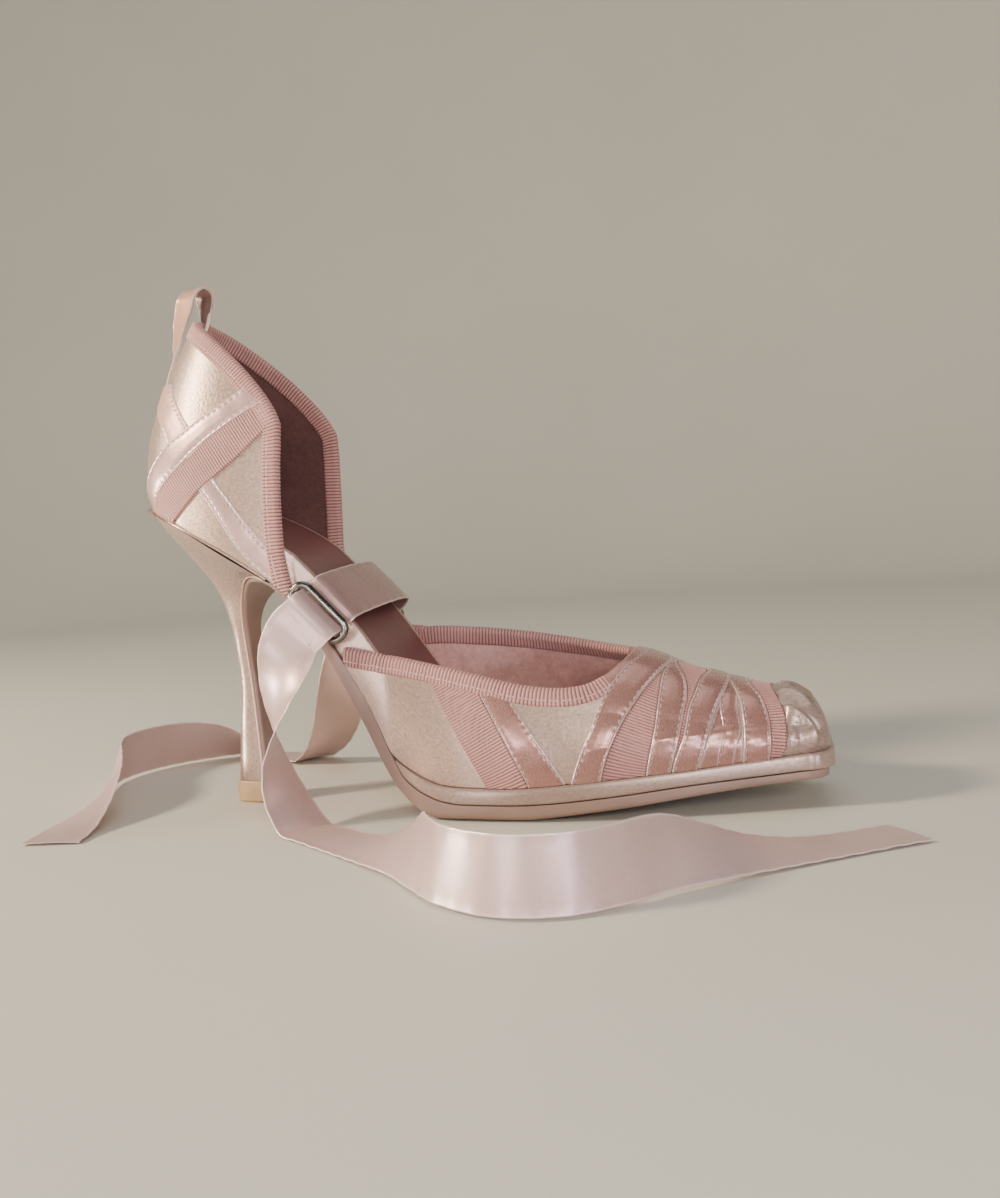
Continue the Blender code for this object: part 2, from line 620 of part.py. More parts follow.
def build_outsole():
    """Sheet sole: tread under the ball, thin waist, flap down the heel's breast."""
    rings = []
    front = LENGTH - SOLE_SET_BACK
    for x in reversed(stations(LAST[0].x, front)):
        top = last("tread", x)
        if x < BARE_WAIST_END:
            top -= slope_gap(x)
        near, far = (outsole_outline(side, x, front) - SOLE_TUCK for side in SIDES)
        ring = sole_ring((x, last("ground", x)), (x, top), near, far, SOLE_CHAMFER)
        rings.append(ring)
    for row, (point, into) in zip(HEEL, flap_rows()):
        top = point + into * FLAP_THICK
        rings.append(sole_ring(point, top, row.flap, row.flap, FLAP_CHAMFER))
    loft("outsole", rings, SHOE, NUDE_SOLE)


def build_platform_rand():
    """Covered platform under the forefoot, thinning out where the waist begins."""
    rings = []
    for x in stations(RAND_BEGIN, LENGTH):
        low = last("tread", x) + slope_gap(x)
        high = feather(x) - slope_gap(x)
        ring = []
        for side, sign in (("near", -1), ("far", 1)):
            wide = outsole_outline(side, x, LENGTH)
            middle = (low + high) / 2
            edge = wide - RAND_ROUND
            ring.append([place(x, sign * edge, low), place(x, sign * wide, middle),
                         place(x, sign * edge, high)])
        rings.append(ring[0] + ring[1][::-1])
    loft("platform_rand", rings, SHOE, SATIN)


def heel_ring(front, back, half, square):
    """D-shaped section: flat breast in front, rounded back."""
    ring = []
    turns = 16
    for k in range(turns + 1):
        angle = math.pi * (k / turns - 0.5)
        depth = math.cos(angle) ** (2 / square)
        across = math.copysign(abs(math.sin(angle)) ** (2 / square), angle)
        point = front + (back - front) * depth
        ring.append(place(point.x, half * across, point.y))
    return ring


def build_heel():
    """Covered stiletto heel from the seat to the tip."""
    rings = []
    for row, (point, into) in zip(HEEL, flap_rows()):
        front = point + into * (FLAP_THICK + GAP)
        back = Vector((row.back_x, row.back_z))
        rings.append(heel_ring(front, back, row.half, row.square))
    heel = loft("heel", rings, SHOE, SATIN)
    seat = [EdgePoint(x, feather(x) - slope_gap(x)) for x in seat_stations()]
    seat += [EdgePoint(seat[-1].x + OVERSHOOT, 125), EdgePoint(BEHIND, 125),
             EdgePoint(BEHIND, seat[0].z)]
    cut(heel, side_prism("heel_seat", seat, -REACH, REACH))


def build_top_piece():
    """Wear piece under the heel tip, a little larger than the heel's foot."""
    foot = HEEL[-1]
    front = Vector((foot.face_x + TOP_PIECE_REACH, 0))
    back = Vector((foot.back_x - TOP_PIECE_REACH, 0))
    half = foot.half + TOP_PIECE_REACH
    up = Vector((0, TOP_PIECE_HEIGHT))
    foot_ring = heel_ring(front, back, half, TOP_PIECE_SQUARE)
    top_ring = heel_ring(front + up, back + up, half, TOP_PIECE_SQUARE)
    loft("top_piece", [foot_ring, top_ring], SHOE, TAN_RUBBER)


def build_pull_loop():
    """Folded tape over the collar at the back seam."""
    middle = smooth_path([(p.x, 0, p.z) for p in LOOP], 3)
    widths = [Vector((0, 1, 0))] * len(middle)
    strip("pull_loop", middle, widths, LOOP_WIDTH, LOOP_THICK, SHOE, RIBBON_SATIN)


def waist_axes():
    """Ways along the waist, and square to it away from the sole."""
    pitch = math.radians(WAIST_PITCH)
    along = Vector((math.cos(pitch), 0, -math.sin(pitch)))
    rise = Vector((math.sin(pitch), 0, math.cos(pitch)))
    return along, rise


def ring_point(sign, along_mm, rise_mm, out_mm):
    along, rise = waist_axes()
    middle = Vector((RING_MID[0], sign * out_mm, RING_MID[1]))
    return middle + along * along_mm + rise * rise_mm


def build_ring(name, sign):
    """Rectangular wire ring with round corners."""
    half_long = RING_LENGTH / 2 - RING_WIRE - RING_CORNER
    half_high = RING_HEIGHT / 2 - RING_WIRE - RING_CORNER
    points = []
    for corner, (a, b) in enumerate(((1, 1), (-1, 1), (-1, -1), (1, -1))):
        for k in range(5):
            turn = math.radians(90 * corner + 22.5 * k)
            points.append((a * half_long + RING_CORNER * math.cos(turn),
                           b * half_high + RING_CORNER * math.sin(turn)))
    curve = bpy.data.curves.new(name, "CURVE")
    curve.dimensions = "3D"
    curve.bevel_depth = RING_WIRE * MM
    curve.bevel_resolution = 2
    spline = curve.splines.new("POLY")
    spline.points.add(len(points) - 1)
    for point, (a, b) in zip(spline.points, points):
        point.co = (*place(*ring_point(sign, a, b, RING_OUT)), 1)
    spline.use_cyclic_u = True
    ring = bpy.data.objects.new(name, curve)
    SHOE.objects.link(ring)
    curve.materials.append(new_material(name, GUNMETAL))


def build_keeper(name, sign):
    """Short covered loop from the insole's edge round the ring's lower bar."""
    bar = -(RING_HEIGHT / 2 - RING_WIRE)
    inner = RING_WIRE + GAP
    outer = inner + KEEPER_THICK
    insole_side = upper_reach("near" if sign < 0 else "far", RING_MID[0],
                              feather(RING_MID[0]) + 5, UPPER_WALL + GAP) + GAP
    turns = [math.radians(90 - 22.5 * k) for k in range(13)]
    outline = [(insole_side, bar + outer)]
    outline += [(RING_OUT + outer * math.cos(t), bar + outer * math.sin(t)) for t in turns]
    back = reversed(turns)
    outline += [(RING_OUT + inner * math.cos(t), bar + inner * math.sin(t)) for t in back]
    outline += [(insole_side, bar + inner)]
    rings = []
    for end in (KEEPER_FROM, KEEPER_TO):
        rings.append([place(*ring_point(sign, end, rise, out)) for out, rise in outline])
    loft(name, rings, SHOE, SATIN)


def build_ribbon_instep():
    """Held stretch of the ribbon, over the waist from ring to ring."""
    along, _ = waist_axes()
    points = []
    for row in BAND:
        sign = -1 if row.y < 0 else 1
        points.append(ring_point(sign, 0, row.rise, abs(row.y)))
    middle = smooth_path(points, 3)
    widths = [along] * len(middle)
    strip("ribbon_instep", middle, widths, RIBBON_WIDTH, RIBBON_THICK, SHOE, BAND_SATIN)


def width_way(row):
    heading = math.radians(row.heading)
    tilt = math.radians(row.tilt)
    return Vector((math.cos(heading) * math.cos(tilt), math.sin(heading) * math.cos(tilt),
                   math.sin(tilt)))


def build_ribbon_end(name, sign, rows):
    """Free end of the ribbon: out through its ring, down, and along the ground."""
    start = [ring_point(sign, 0, row.rise, row.out) for row in THREAD]
    rows = [RibbonPoint(*point, 0, THREAD_TILT) for point in start] + rows
    middle = smooth_path([(row.x, row.y, row.z) for row in rows], 3)
    ways = smooth_path([width_way(row) for row in rows], 3)
    passes = 4                # raising one point turns its neighbours a little
    for i in list(range(len(middle))) * passes:
        before = middle[max(i - 1, 0)]
        after = middle[min(i + 1, len(middle) - 1)]
        along = (after - before).normalized()
        way = (ways[i] - ways[i].dot(along) * along).normalized()
        lowest = GAP + abs(way.z) * RIBBON_WIDTH / 2 + RIBBON_THICK
        middle[i].z = max(middle[i].z, lowest)
    strip(name, middle, ways, RIBBON_WIDTH, RIBBON_THICK, SHOE, RIBBON_SATIN)


# ---------------------------------------------------------------- assembly
for leftover in list(bpy.data.objects):
    bpy.data.objects.remove(leftover)
SHOE = bpy.data.collections.new("stiletto")
CUTTERS = bpy.data.collections.new("cutters")
bpy.context.scene.collection.children.link(SHOE)
bpy.context.scene.collection.children.link(CUTTERS)

build_outsole()
build_platform_rand()
build_insole()
build_vamp()
build_quarter()
build_heel()
build_top_piece()
build_pull_loop()
for hand, towards in (("right", -1), ("left", 1)):
    build_ring("ring_" + hand, towards)
    build_keeper("keeper_" + hand, towards)
build_ribbon_instep()
build_ribbon_end("ribbon_end_right", -1, RIBBON_RIGHT)
build_ribbon_end("ribbon_end_left", 1, RIBBON_LEFT)
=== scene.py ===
import math
from collections import namedtuple

import bmesh
import bpy
import numpy as np
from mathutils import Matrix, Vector


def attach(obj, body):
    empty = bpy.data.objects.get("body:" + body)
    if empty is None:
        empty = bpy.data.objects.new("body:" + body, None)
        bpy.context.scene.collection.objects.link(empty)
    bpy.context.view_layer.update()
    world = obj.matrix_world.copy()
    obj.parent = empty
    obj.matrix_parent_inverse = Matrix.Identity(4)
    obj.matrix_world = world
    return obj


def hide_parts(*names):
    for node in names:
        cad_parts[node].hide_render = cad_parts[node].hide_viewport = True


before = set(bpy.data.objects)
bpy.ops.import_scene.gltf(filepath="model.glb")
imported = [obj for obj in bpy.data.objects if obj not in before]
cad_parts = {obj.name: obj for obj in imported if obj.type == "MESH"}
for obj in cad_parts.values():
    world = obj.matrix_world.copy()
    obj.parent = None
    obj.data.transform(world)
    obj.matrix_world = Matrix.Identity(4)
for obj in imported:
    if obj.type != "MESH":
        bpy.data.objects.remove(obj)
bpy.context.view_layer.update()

# ---------------------------------------------------------------- camera, lamps, floor
# A viewer a good arm's length away, at the height of the collar, sees the shoe's outer
# side from ahead of the toes.  A warm lamp stands on the left, small cool ones fill from
# in front, and the shoe stands on a pale matt table inside a round pale backdrop.
EYE = Vector((0.09192, -0.36747, 0.08412))
AIM = Vector((0.0080, 0.0, 0.0660))
ROLLED_UP = Vector((0.08211, -0.10341, 0.99124))
LENS_MM = 41.0
SENSOR_MM = 36.0
NEAR_CLIP = 0.01
LAMP_AIM = Vector((0.0, 0.0, 0.05))
LAMP_UP = Vector((0, 1, 0.3))
STUDIO_AIR = (0.78, 0.77, 0.80, 1)
STUDIO_AIR_STRENGTH = 0.14
FLOOR_RADIUS = 1.3
BEND_RADIUS = 0.6
BEND_STEPS = 24
WALL_TOP = 1.5
SIDES = 64


def look_along(thing, eye, way, up):
    """Stand a camera or lamp at eye so that its -Z looks along way."""
    way = way.normalized()
    right = way.cross(up).normalized()
    up = right.cross(way)
    turn = thing.rotation_euler.to_matrix()
    for row in range(3):
        turn[row] = (right[row], up[row], -way[row])
    thing.rotation_euler = turn.to_euler()
    thing.location = eye


camera = bpy.data.objects.new("camera", bpy.data.cameras.new("camera"))
camera.data.sensor_fit = "HORIZONTAL"
camera.data.sensor_width = SENSOR_MM
camera.data.lens = LENS_MM
camera.data.clip_start = NEAR_CLIP
look_along(camera, EYE, AIM - EYE, ROLLED_UP)
bpy.context.scene.collection.objects.link(camera)
bpy.context.scene.camera = camera

Lamp = namedtuple("Lamp", "name x y z size watts color")
for row in (
    Lamp("key", -0.98, -0.50, 0.66, 0.20, 18.5, (1.0, 0.84, 0.63)),
    Lamp("low", -0.92, -0.26, 0.05, 0.14, 8.0, (1.0, 0.93, 0.84)),
    Lamp("front", 0.40, -0.90, 0.33, 0.26, 4.4, (1.0, 0.96, 0.97)),
    Lamp("catch", 0.11, -0.94, 0.38, 0.08, 0.6, (1.0, 0.94, 0.84)),
    Lamp("glance", 0.62, -0.76, 0.05, 0.10, 2.0, (0.76, 0.73, 1.0)),
    Lamp("fill", -0.28, -0.92, 0.08, 0.16, 2.2, (0.94, 0.90, 1.0)),
    Lamp("dome", 0.0, 0.35, 2.3, 1.8, 13.5, (1.0, 0.99, 0.97)),
):
    lamp = bpy.data.objects.new(row.name, bpy.data.lights.new(row.name, "AREA"))
    lamp.data.size = row.size
    lamp.data.energy = row.watts
    lamp.data.color = row.color
    spot = Vector((row.x, row.y, row.z))
    look_along(lamp, spot, LAMP_AIM - spot, LAMP_UP)
    bpy.context.scene.collection.objects.link(lamp)

world = bpy.data.worlds.new("studio")
world.use_nodes = True
air = world.node_tree.nodes["Background"]
air.inputs["Color"].default_value = STUDIO_AIR
air.inputs["Strength"].default_value = STUDIO_AIR_STRENGTH
bpy.context.scene.world = world


def linear(hex_color):
    """sRGB hex to linear RGBA."""
    parts = [int(hex_color[k:k + 2], 16) / 255 for k in (1, 3, 5)]
    parts = [c / 12.92 if c <= 0.04045 else ((c + 0.055) / 1.055) ** 2.4 for c in parts]
    return (*parts, 1.0)


def plug(tree, node, sockets):
    """Give each named input a value, an output, or the first output of another node."""
    for key, value in sockets.items():
        if isinstance(value, bpy.types.Node):
            value = next(output for output in value.outputs if output.enabled)
        if isinstance(value, bpy.types.NodeSocket):
            tree.links.new(value, node.inputs[key])
        else:
            node.inputs[key].default_value = value


def add(tree, kind, sockets=(), **settings):
    """Add a node with its settings, and plug its inputs."""
    node = tree.nodes.new(kind)
    for key, value in settings.items():
        setattr(node, key, value)
    plug(tree, node, dict(sockets))
    return node


def new_surface(name, **sockets):
    """A material with its Principled shader; sockets are set on the shader itself."""
    material = bpy.data.materials.new(name)
    material.use_nodes = True
    shader = material.node_tree.nodes["Principled BSDF"]
    for key, value in sockets.items():
        shader.inputs[key.replace("_", " ")].default_value = value
    return material, material.node_tree, shader


def mottled(name, deep, pale, patch_m, detail, **sockets):
    """A material that drifts between two tones, in patches about so many metres wide."""
    material, tree, shader = new_surface(name, **sockets)
    spots = add(tree, "ShaderNodeTexCoord").outputs["Object"]
    patch = add(tree, "ShaderNodeTexNoise", {"Vector": spots, "Scale": 1 / patch_m,
                                             "Detail": detail})
    tint = add(tree, "ShaderNodeMix", {"Factor": patch, "A": linear(deep), "B": linear(pale)},
               data_type="RGBA")
    plug(tree, shader, {"Base Color": tint})
    return material, tree, shader, spots, patch, tint


# Pale laminate table top: matt, with a faint cloudiness.
table_top = mottled("table_laminate", "#d0cdc1", "#d9d6cb", 1 / 3, 3.0, Roughness=0.55)[0]

profile = [(0.35, 0.0), (0.8, 0.0), (FLOOR_RADIUS, 0.0)]
for k in range(1, BEND_STEPS + 1):
    turn = math.radians(90 * k / BEND_STEPS)
    profile.append((FLOOR_RADIUS + BEND_RADIUS * math.sin(turn),
                    BEND_RADIUS * (1 - math.cos(turn))))
profile.append((FLOOR_RADIUS + BEND_RADIUS, WALL_TOP))
round_turns = [2 * math.pi * k / SIDES for k in range(SIDES)]
corners = [(out * math.cos(t), out * math.sin(t), z) for out, z in profile for t in round_turns]
faces = [list(range(SIDES))]
for row in range(len(profile) - 1):
    for k in range(SIDES):
        here, then = row * SIDES + k, row * SIDES + (k + 1) % SIDES
        faces.append([here, here + SIDES, then + SIDES, then])
sweep = bpy.data.meshes.new("backdrop")
sweep.from_pydata(corners, [], faces)
sweep.shade_smooth()
sweep.materials.append(table_top)
backdrop = bpy.data.objects.new("backdrop", sweep)
bpy.context.scene.collection.objects.link(backdrop)

# ---------------------------------------------------------------- free ribbon ends
# Two lengths of satin ribbon, 18.6 mm wide, woven with a fine corded selvedge and cut
# square; the loose threads at their cut ends are not drawn.  Each leaves the shoe through its
# wire ring, hangs to the table and lies there in a loose curve, on edge where it bends.
MM = 0.001
MIDDLE = np.array((111.8, 0.7, 0.0))
RING_MID = np.array((67.4, 0.0, 65.9))
WAIST_PITCH = math.radians(46.9)
WAIST_ALONG = np.array((math.cos(WAIST_PITCH), 0.0, -math.sin(WAIST_PITCH)))
WAIST_RISE = np.array((math.sin(WAIST_PITCH), 0.0, math.cos(WAIST_PITCH)))
RIBBON_WIDTH = 18.6
RIBBON_THICK = 0.34
RIBBON_CLEAR = 0.9
PARTS_A_ROW = 14
PassPoint = namedtuple("PassPoint", "out rise")
RING_PASS = [PassPoint(*row) for row in (
    (26.8, 1.2), (28.9, 0.5), (31.0, -0.5), (32.5, -2.5), (33.0, -5.5), (33.4, -10.0),
)]
PASS_TILT = -47
RibbonPoint = namedtuple("RibbonPoint", "x y z heading tilt")
RIBBON_RIGHT = [RibbonPoint(*row) for row in (
    (57.5, -35.4, 51.0, -15, -50), (54.9, -36.6, 41.0, -42, -36),
    (53.8, -37.6, 30.0, -66, -20), (55.0, -39.2, 18.5, -92, -8),
    (59.6, -42.4, 8.0, -114, 0), (68.0, -48.0, 0, -124, 0),
    (79.0, -56.4, 0, -128, 0), (90.5, -65.8, 0, -131, -6),
    (101.5, -76.2, 0, -136, -24), (111.0, -88.0, 0, -144, -52),
    (118.5, -101.5, 0, -149, -72), (128.0, -114.0, 0, -136, -80),
    (142.0, -122.0, 0, -106, -82), (157.5, -121.0, 0, -72, -82),
    (170.0, -111.5, 0, -46, -78), (179.5, -98.5, 0, -38, -64),
    (190.0, -86.5, 0, -43, -38), (201.5, -76.0, 0, -48, -16),
    (214.0, -66.5, 0, -52, -4), (227.0, -57.5, 0, -55, 0),
    (240.0, -49.0, 0, -57, 0),
)]
RIBBON_LEFT = [RibbonPoint(*row) for row in (
    (54.0, 36.4, 50.0, 6, -46), (48.6, 41.0, 39.0, 16, -36),
    (43.6, 47.0, 27.5, 28, -22), (38.0, 54.0, 16.0, 38, -8),
    (30.0, 61.5, 6.0, 46, 0), (19.0, 68.0, 0, 56, -2),
    (6.0, 72.5, 0, 70, -12), (-8.0, 73.5, 0, 86, -34),
    (-22.0, 69.0, 0, 108, -58), (-33.0, 58.5, 0, 134, -72),
    (-39.0, 43.5, 0, 160, -76), (-39.0, 27.0, 0, 186, -76),
    (-33.0, 11.5, 0, 207, -74), (-25.5, -3.0, 0, 204, -66),
    (-19.5, -18.0, 0, 196, -48), (-16.0, -33.5, 0, 190, -24),
    (-13.5, -49.0, 0, 188, -5), (-11.5, -62.0, 0, 188, 0),
)]


def place(points):
    """Shoe millimetres, counted from the heel's back, to metres about the origin."""
    return (np.asarray(points, float) - MIDDLE) * MM


def xyz(x, y, z):
    """Points from their three numbers, each one or many."""
    return np.stack(np.broadcast_arrays(x, y, z), axis=-1)


def ring_point(sign, along, rise, out):
    """A point by the waist ring, on the right (-1) or left (1) side."""
    return RING_MID + WAIST_ALONG * along + WAIST_RISE * rise + np.array((0, sign * out, 0))


def smooth_path(points, parts):
    """Catmull-Rom curve through the points."""
    points = np.asarray(points, float)
    ends = np.vstack((2 * points[0] - points[1], points, 2 * points[-1] - points[-2]))
    out = []
    for a, b, c, d in zip(ends, ends[1:], ends[2:], ends[3:]):
        for t in np.arange(parts) / parts:
            out.append(0.5 * (2 * b + (c - a) * t + (2 * a - 5 * b + 4 * c - d) * t ** 2
                              + (3 * b - a - 3 * c + d) * t ** 3))
    return np.array(out + [points[-1]])


def unit(rows):
    """Rows of vectors, each made one long."""
    return rows / np.maximum(np.linalg.norm(rows, axis=-1, keepdims=True), 1e-12)


def show(name, mesh, *materials):
    """Put a finished mesh in the scene."""
    for material in materials:
        mesh.materials.append(material)
    piece = bpy.data.objects.new(name, mesh)
    bpy.context.scene.collection.objects.link(piece)
    return piece


def keep_fields(mesh, fields):
    """Named numbers or vectors at the points of a mesh."""
    for label, values in fields.items():
        vector = np.ndim(values) == 2
        field = mesh.attributes.new(label, "FLOAT_VECTOR" if vector else "FLOAT", "POINT")
        field.data.foreach_set("vector" if vector else "value", np.ravel(values))


def closed_mesh(name, points, faces, cloth=None, pick=None, sharp=50, fields=()):
    """A welded mesh, faces outward, of points in shoe millimetres.

    cloth holds a pair of lengths in millimetres for every point, kept as the UV map that
    weave patterns follow; pick holds a material number for every face; fields are named
    numbers or vectors at the points.
    """
    mesh = bpy.data.meshes.new(name)
    mesh.from_pydata(place(points).tolist(), [], faces)
    keep_fields(mesh, dict(fields))
    if cloth is not None:
        layer = mesh.uv_layers.new(name="cloth")
        corner_points = np.empty(len(mesh.loops), int)
        mesh.loops.foreach_get("vertex_index", corner_points)
        layer.data.foreach_set("uv", (cloth.reshape(-1, 2)[corner_points] * MM).ravel())
    if pick is not None:
        mesh.polygons.foreach_set("material_index", pick)
    shape = bmesh.new()
    shape.from_mesh(mesh)
    bmesh.ops.remove_doubles(shape, verts=shape.verts, dist=1e-7)
    bmesh.ops.recalc_face_normals(shape, faces=shape.faces)
    shape.to_mesh(mesh)
    shape.free()
    mesh.shade_smooth()
    mesh.set_sharp_from_angle(angle=math.radians(sharp))
    return mesh


def grid_mesh(name, rings, cloth=None, looped=False, pick=None, sharp=50, fields=()):
    """Mesh through rings of points (rows, points, 3); looped joins the last row to the first.

    pick gives a material number for each place round a ring.
    """
    rows, count = rings.shape[:2]
    number = np.arange(rows * count).reshape(rows, count)
    ahead = np.roll(number, -1, axis=0) if looped else number[1:]
    here = number if looped else number[:-1]
    faces = np.stack((here, np.roll(here, -1, axis=1), np.roll(ahead, -1, axis=1), ahead),
                     axis=-1).reshape(-1, 4).tolist()
    if pick is not None:
        pick = np.tile(pick, len(here)).tolist() + [0] * (0 if looped else 2)
    if not looped:
        faces += [number[0][::-1].tolist(), number[-1].tolist()]
    return closed_mesh(name, rings.reshape(-1, 3), faces, cloth, pick, sharp, fields)


def show_rings(name, rings, *materials, **options):
    """Put a piece made through rings of points in the scene; the options are grid_mesh's."""
    return show(name, grid_mesh(name, rings, **options), *materials)


def run_lengths(points):
    """Length in millimetres from the first point to each."""
    steps = np.linalg.norm(np.diff(points, axis=0), axis=1)
    return np.concatenate(((0.0,), np.cumsum(steps)))


def cloth_map(lengths, girths):
    """Millimetres along and across the cloth, paired for every point."""
    return np.stack(np.broadcast_arrays(lengths, girths), axis=-1)


def across_line(middle, ways):
    """Unit ways along a line, and across it as near the given ways as can be."""
    along = unit(np.gradient(middle, axis=0))
    return along, unit(ways - (ways * along).sum(1, keepdims=True) * along)


def satin(name, deep, pale, thread, roughness, gleam, sparkle, glide=0.25, across=0.25):
    """Satin: long floats of bright yarn over a hidden ground, so it glows in broad soft bands.

    thread is the yarns' spacing in millimetres, gleam how metallic they look, and sparkle how
    much single ones catch the light.
    glide is how far the floats draw a highlight out, and across turns that way from the run
    of the cloth (0) to its width (0.25).
    """
    material, tree, shader = new_surface(name, Roughness=roughness, Metallic=gleam,
                                         Sheen_Weight=0.06, Sheen_Roughness=0.35,
                                         Sheen_Tint=linear("#f1e3ee"), IOR=1.55,
                                         Anisotropic=glide, Anisotropic_Rotation=across)
    spots = add(tree, "ShaderNodeUVMap", uv_map="cloth")
    floats = add(tree, "ShaderNodeTangent", direction_type="UV_MAP", uv_map="cloth")
    per_metre = 1 / (thread * MM)
    drawn = add(tree, "ShaderNodeMapping", {"Vector": spots, "Scale": (0.16, 1.0, 1.0)})
    yarn = add(tree, "ShaderNodeTexNoise", {"Vector": drawn, "Scale": per_metre,
                                            "Detail": 2.0, "Roughness": 0.55})
    cloud = add(tree, "ShaderNodeTexNoise", {"Vector": spots, "Scale": 1 / 0.014, "Detail": 2.0})
    grain = add(tree, "ShaderNodeTexNoise", {"Vector": spots, "Scale": 1 / 0.0011, "Detail": 2.0})
    mixed = add(tree, "ShaderNodeMath", {0: yarn, 1: 0.5}, operation="MULTIPLY")
    mixed = add(tree, "ShaderNodeMath", {0: cloud, 1: 0.25, 2: mixed}, operation="MULTIPLY_ADD")
    mixed = add(tree, "ShaderNodeMath", {0: grain, 1: 1.5 * sparkle, 2: mixed},
                operation="MULTIPLY_ADD")
    middle = 0.375 + 0.75 * sparkle
    shade = add(tree, "ShaderNodeMapRange", {"Value": mixed, "From Min": middle - 0.28,
                                             "From Max": middle + 0.28})
    tint = add(tree, "ShaderNodeMix", {"Factor": shade, "A": linear(deep),
                                       "B": linear(pale)}, data_type="RGBA")
    # Where a piece marks its edges, the colour is mixed toward a pale tone: a painted highlight on
    # the proud selvedges.
    edge_highlight = add(tree, "ShaderNodeAttribute", attribute_name="painted_edge_highlight")
    tint = add(tree, "ShaderNodeMix", {"Factor": edge_highlight.outputs["Fac"], "A": tint,
                                       "B": linear("#efdcd3")}, data_type="RGBA")
    gloss = add(tree, "ShaderNodeMapRange", {"Value": yarn, "From Min": 0.3,
                                             "From Max": 0.7, "To Min": roughness - 0.05,
                                             "To Max": roughness + 0.08})
    weave = add(tree, "ShaderNodeBump", {"Height": yarn, "Strength": 0.35, "Distance": 0.00005})
    soft = add(tree, "ShaderNodeBump", {"Height": grain, "Strength": sparkle,
                                        "Distance": 0.00012, "Normal": weave})
    plug(tree, shader, {"Base Color": tint, "Roughness": gloss, "Normal": soft, "Tangent": floats})
    return material


# Polyester satin ribbon, pale pink; its yarns are finer than this but would not show.
ribbon_satin = satin("ribbon_satin_pale_pink", "#c6a49d", "#dcc0ba", thread=0.16, roughness=0.36,
                     gleam=0.38, sparkle=0.12)


def ribbon_mesh(name, middle, ways, width, thick, cup=0.25):
    """A woven ribbon along a middle line, ways pointing across; its selvedges stand proud and
    carry a painted highlight.
    """
    along, across = across_line(middle, ways)
    up = np.cross(along, across)
    run = run_lengths(middle)
    share = np.array((-1, -0.985, -0.95, -0.92, -0.7, -0.4, 0, 0.4, 0.7, 0.92, 0.95, 0.985, 1))
    body = np.array((0.55, 1.25, 1.25, 0.8, 0.8, 0.8, 0.8, 0.8, 0.8, 0.8, 1.25, 1.25, 0.55))
    bow = cup * (share ** 2 - 0.4)
    ripple = 0.10 * np.sin(run[:, None] * 0.9 + share * 2.0) * np.abs(share) ** 3
    rings = []
    for side in (-1, 1):
        lift = bow[None] + ripple + side * body[None] * thick / 2
        face = (middle[:, None] + across[:, None] * (share * width / 2)[None, :, None]
                + up[:, None] * lift[..., None])
        rings.append(face if side < 0 else face[:, ::-1])
    over = np.concatenate((share, share[::-1] + 2.5)) * width / 2
    # Points at the selvedges are marked for a painted highlight.
    edge = np.where(np.abs(np.concatenate((share, share[::-1]))) > 0.93, 0.55, 0.0)
    return grid_mesh(name, np.concatenate(rings, axis=1), cloth_map(run[:, None], over),
                     fields={"painted_edge_highlight": np.tile(edge, len(run))})


def ribbon_route(sign, rows):
    """Middle line and ways across of a free end, from inside its ring to its cut end."""
    tilt = math.radians(PASS_TILT)
    start = [ring_point(sign, 0, row.rise, row.out) for row in RING_PASS]
    points = start + [np.array((row.x, row.y, row.z)) for row in rows]
    ways = [np.array((math.cos(tilt), 0.0, math.sin(tilt)))] * len(start)
    for row in rows:
        heading, tilt = math.radians(row.heading), math.radians(row.tilt)
        ways.append(np.array((math.cos(heading) * math.cos(tilt),
                              math.sin(heading) * math.cos(tilt), math.sin(tilt))))
    return np.array(points), np.array(ways)


def settle(middle, ways):
    """Raise the middle line so that no edge of the ribbon goes below the table."""
    for _ in range(4):
        across = across_line(middle, ways)[1]
        lowest = RIBBON_CLEAR + np.abs(across[:, 2]) * RIBBON_WIDTH / 2
        middle[:, 2] = np.maximum(middle[:, 2], lowest)
    return middle


for hand, sign, rows in (("right", -1, RIBBON_RIGHT), ("left", 1, RIBBON_LEFT)):
    points, ways = ribbon_route(sign, rows)
    ways = smooth_path(ways, PARTS_A_ROW)
    middle = settle(smooth_path(points, PARTS_A_ROW), ways)
    name = "ribbon_end_" + hand
    ribbon = show("free_" + name, ribbon_mesh(name, middle, ways, RIBBON_WIDTH, RIBBON_THICK),
                  ribbon_satin)
    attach(ribbon, "root")
    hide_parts(name)

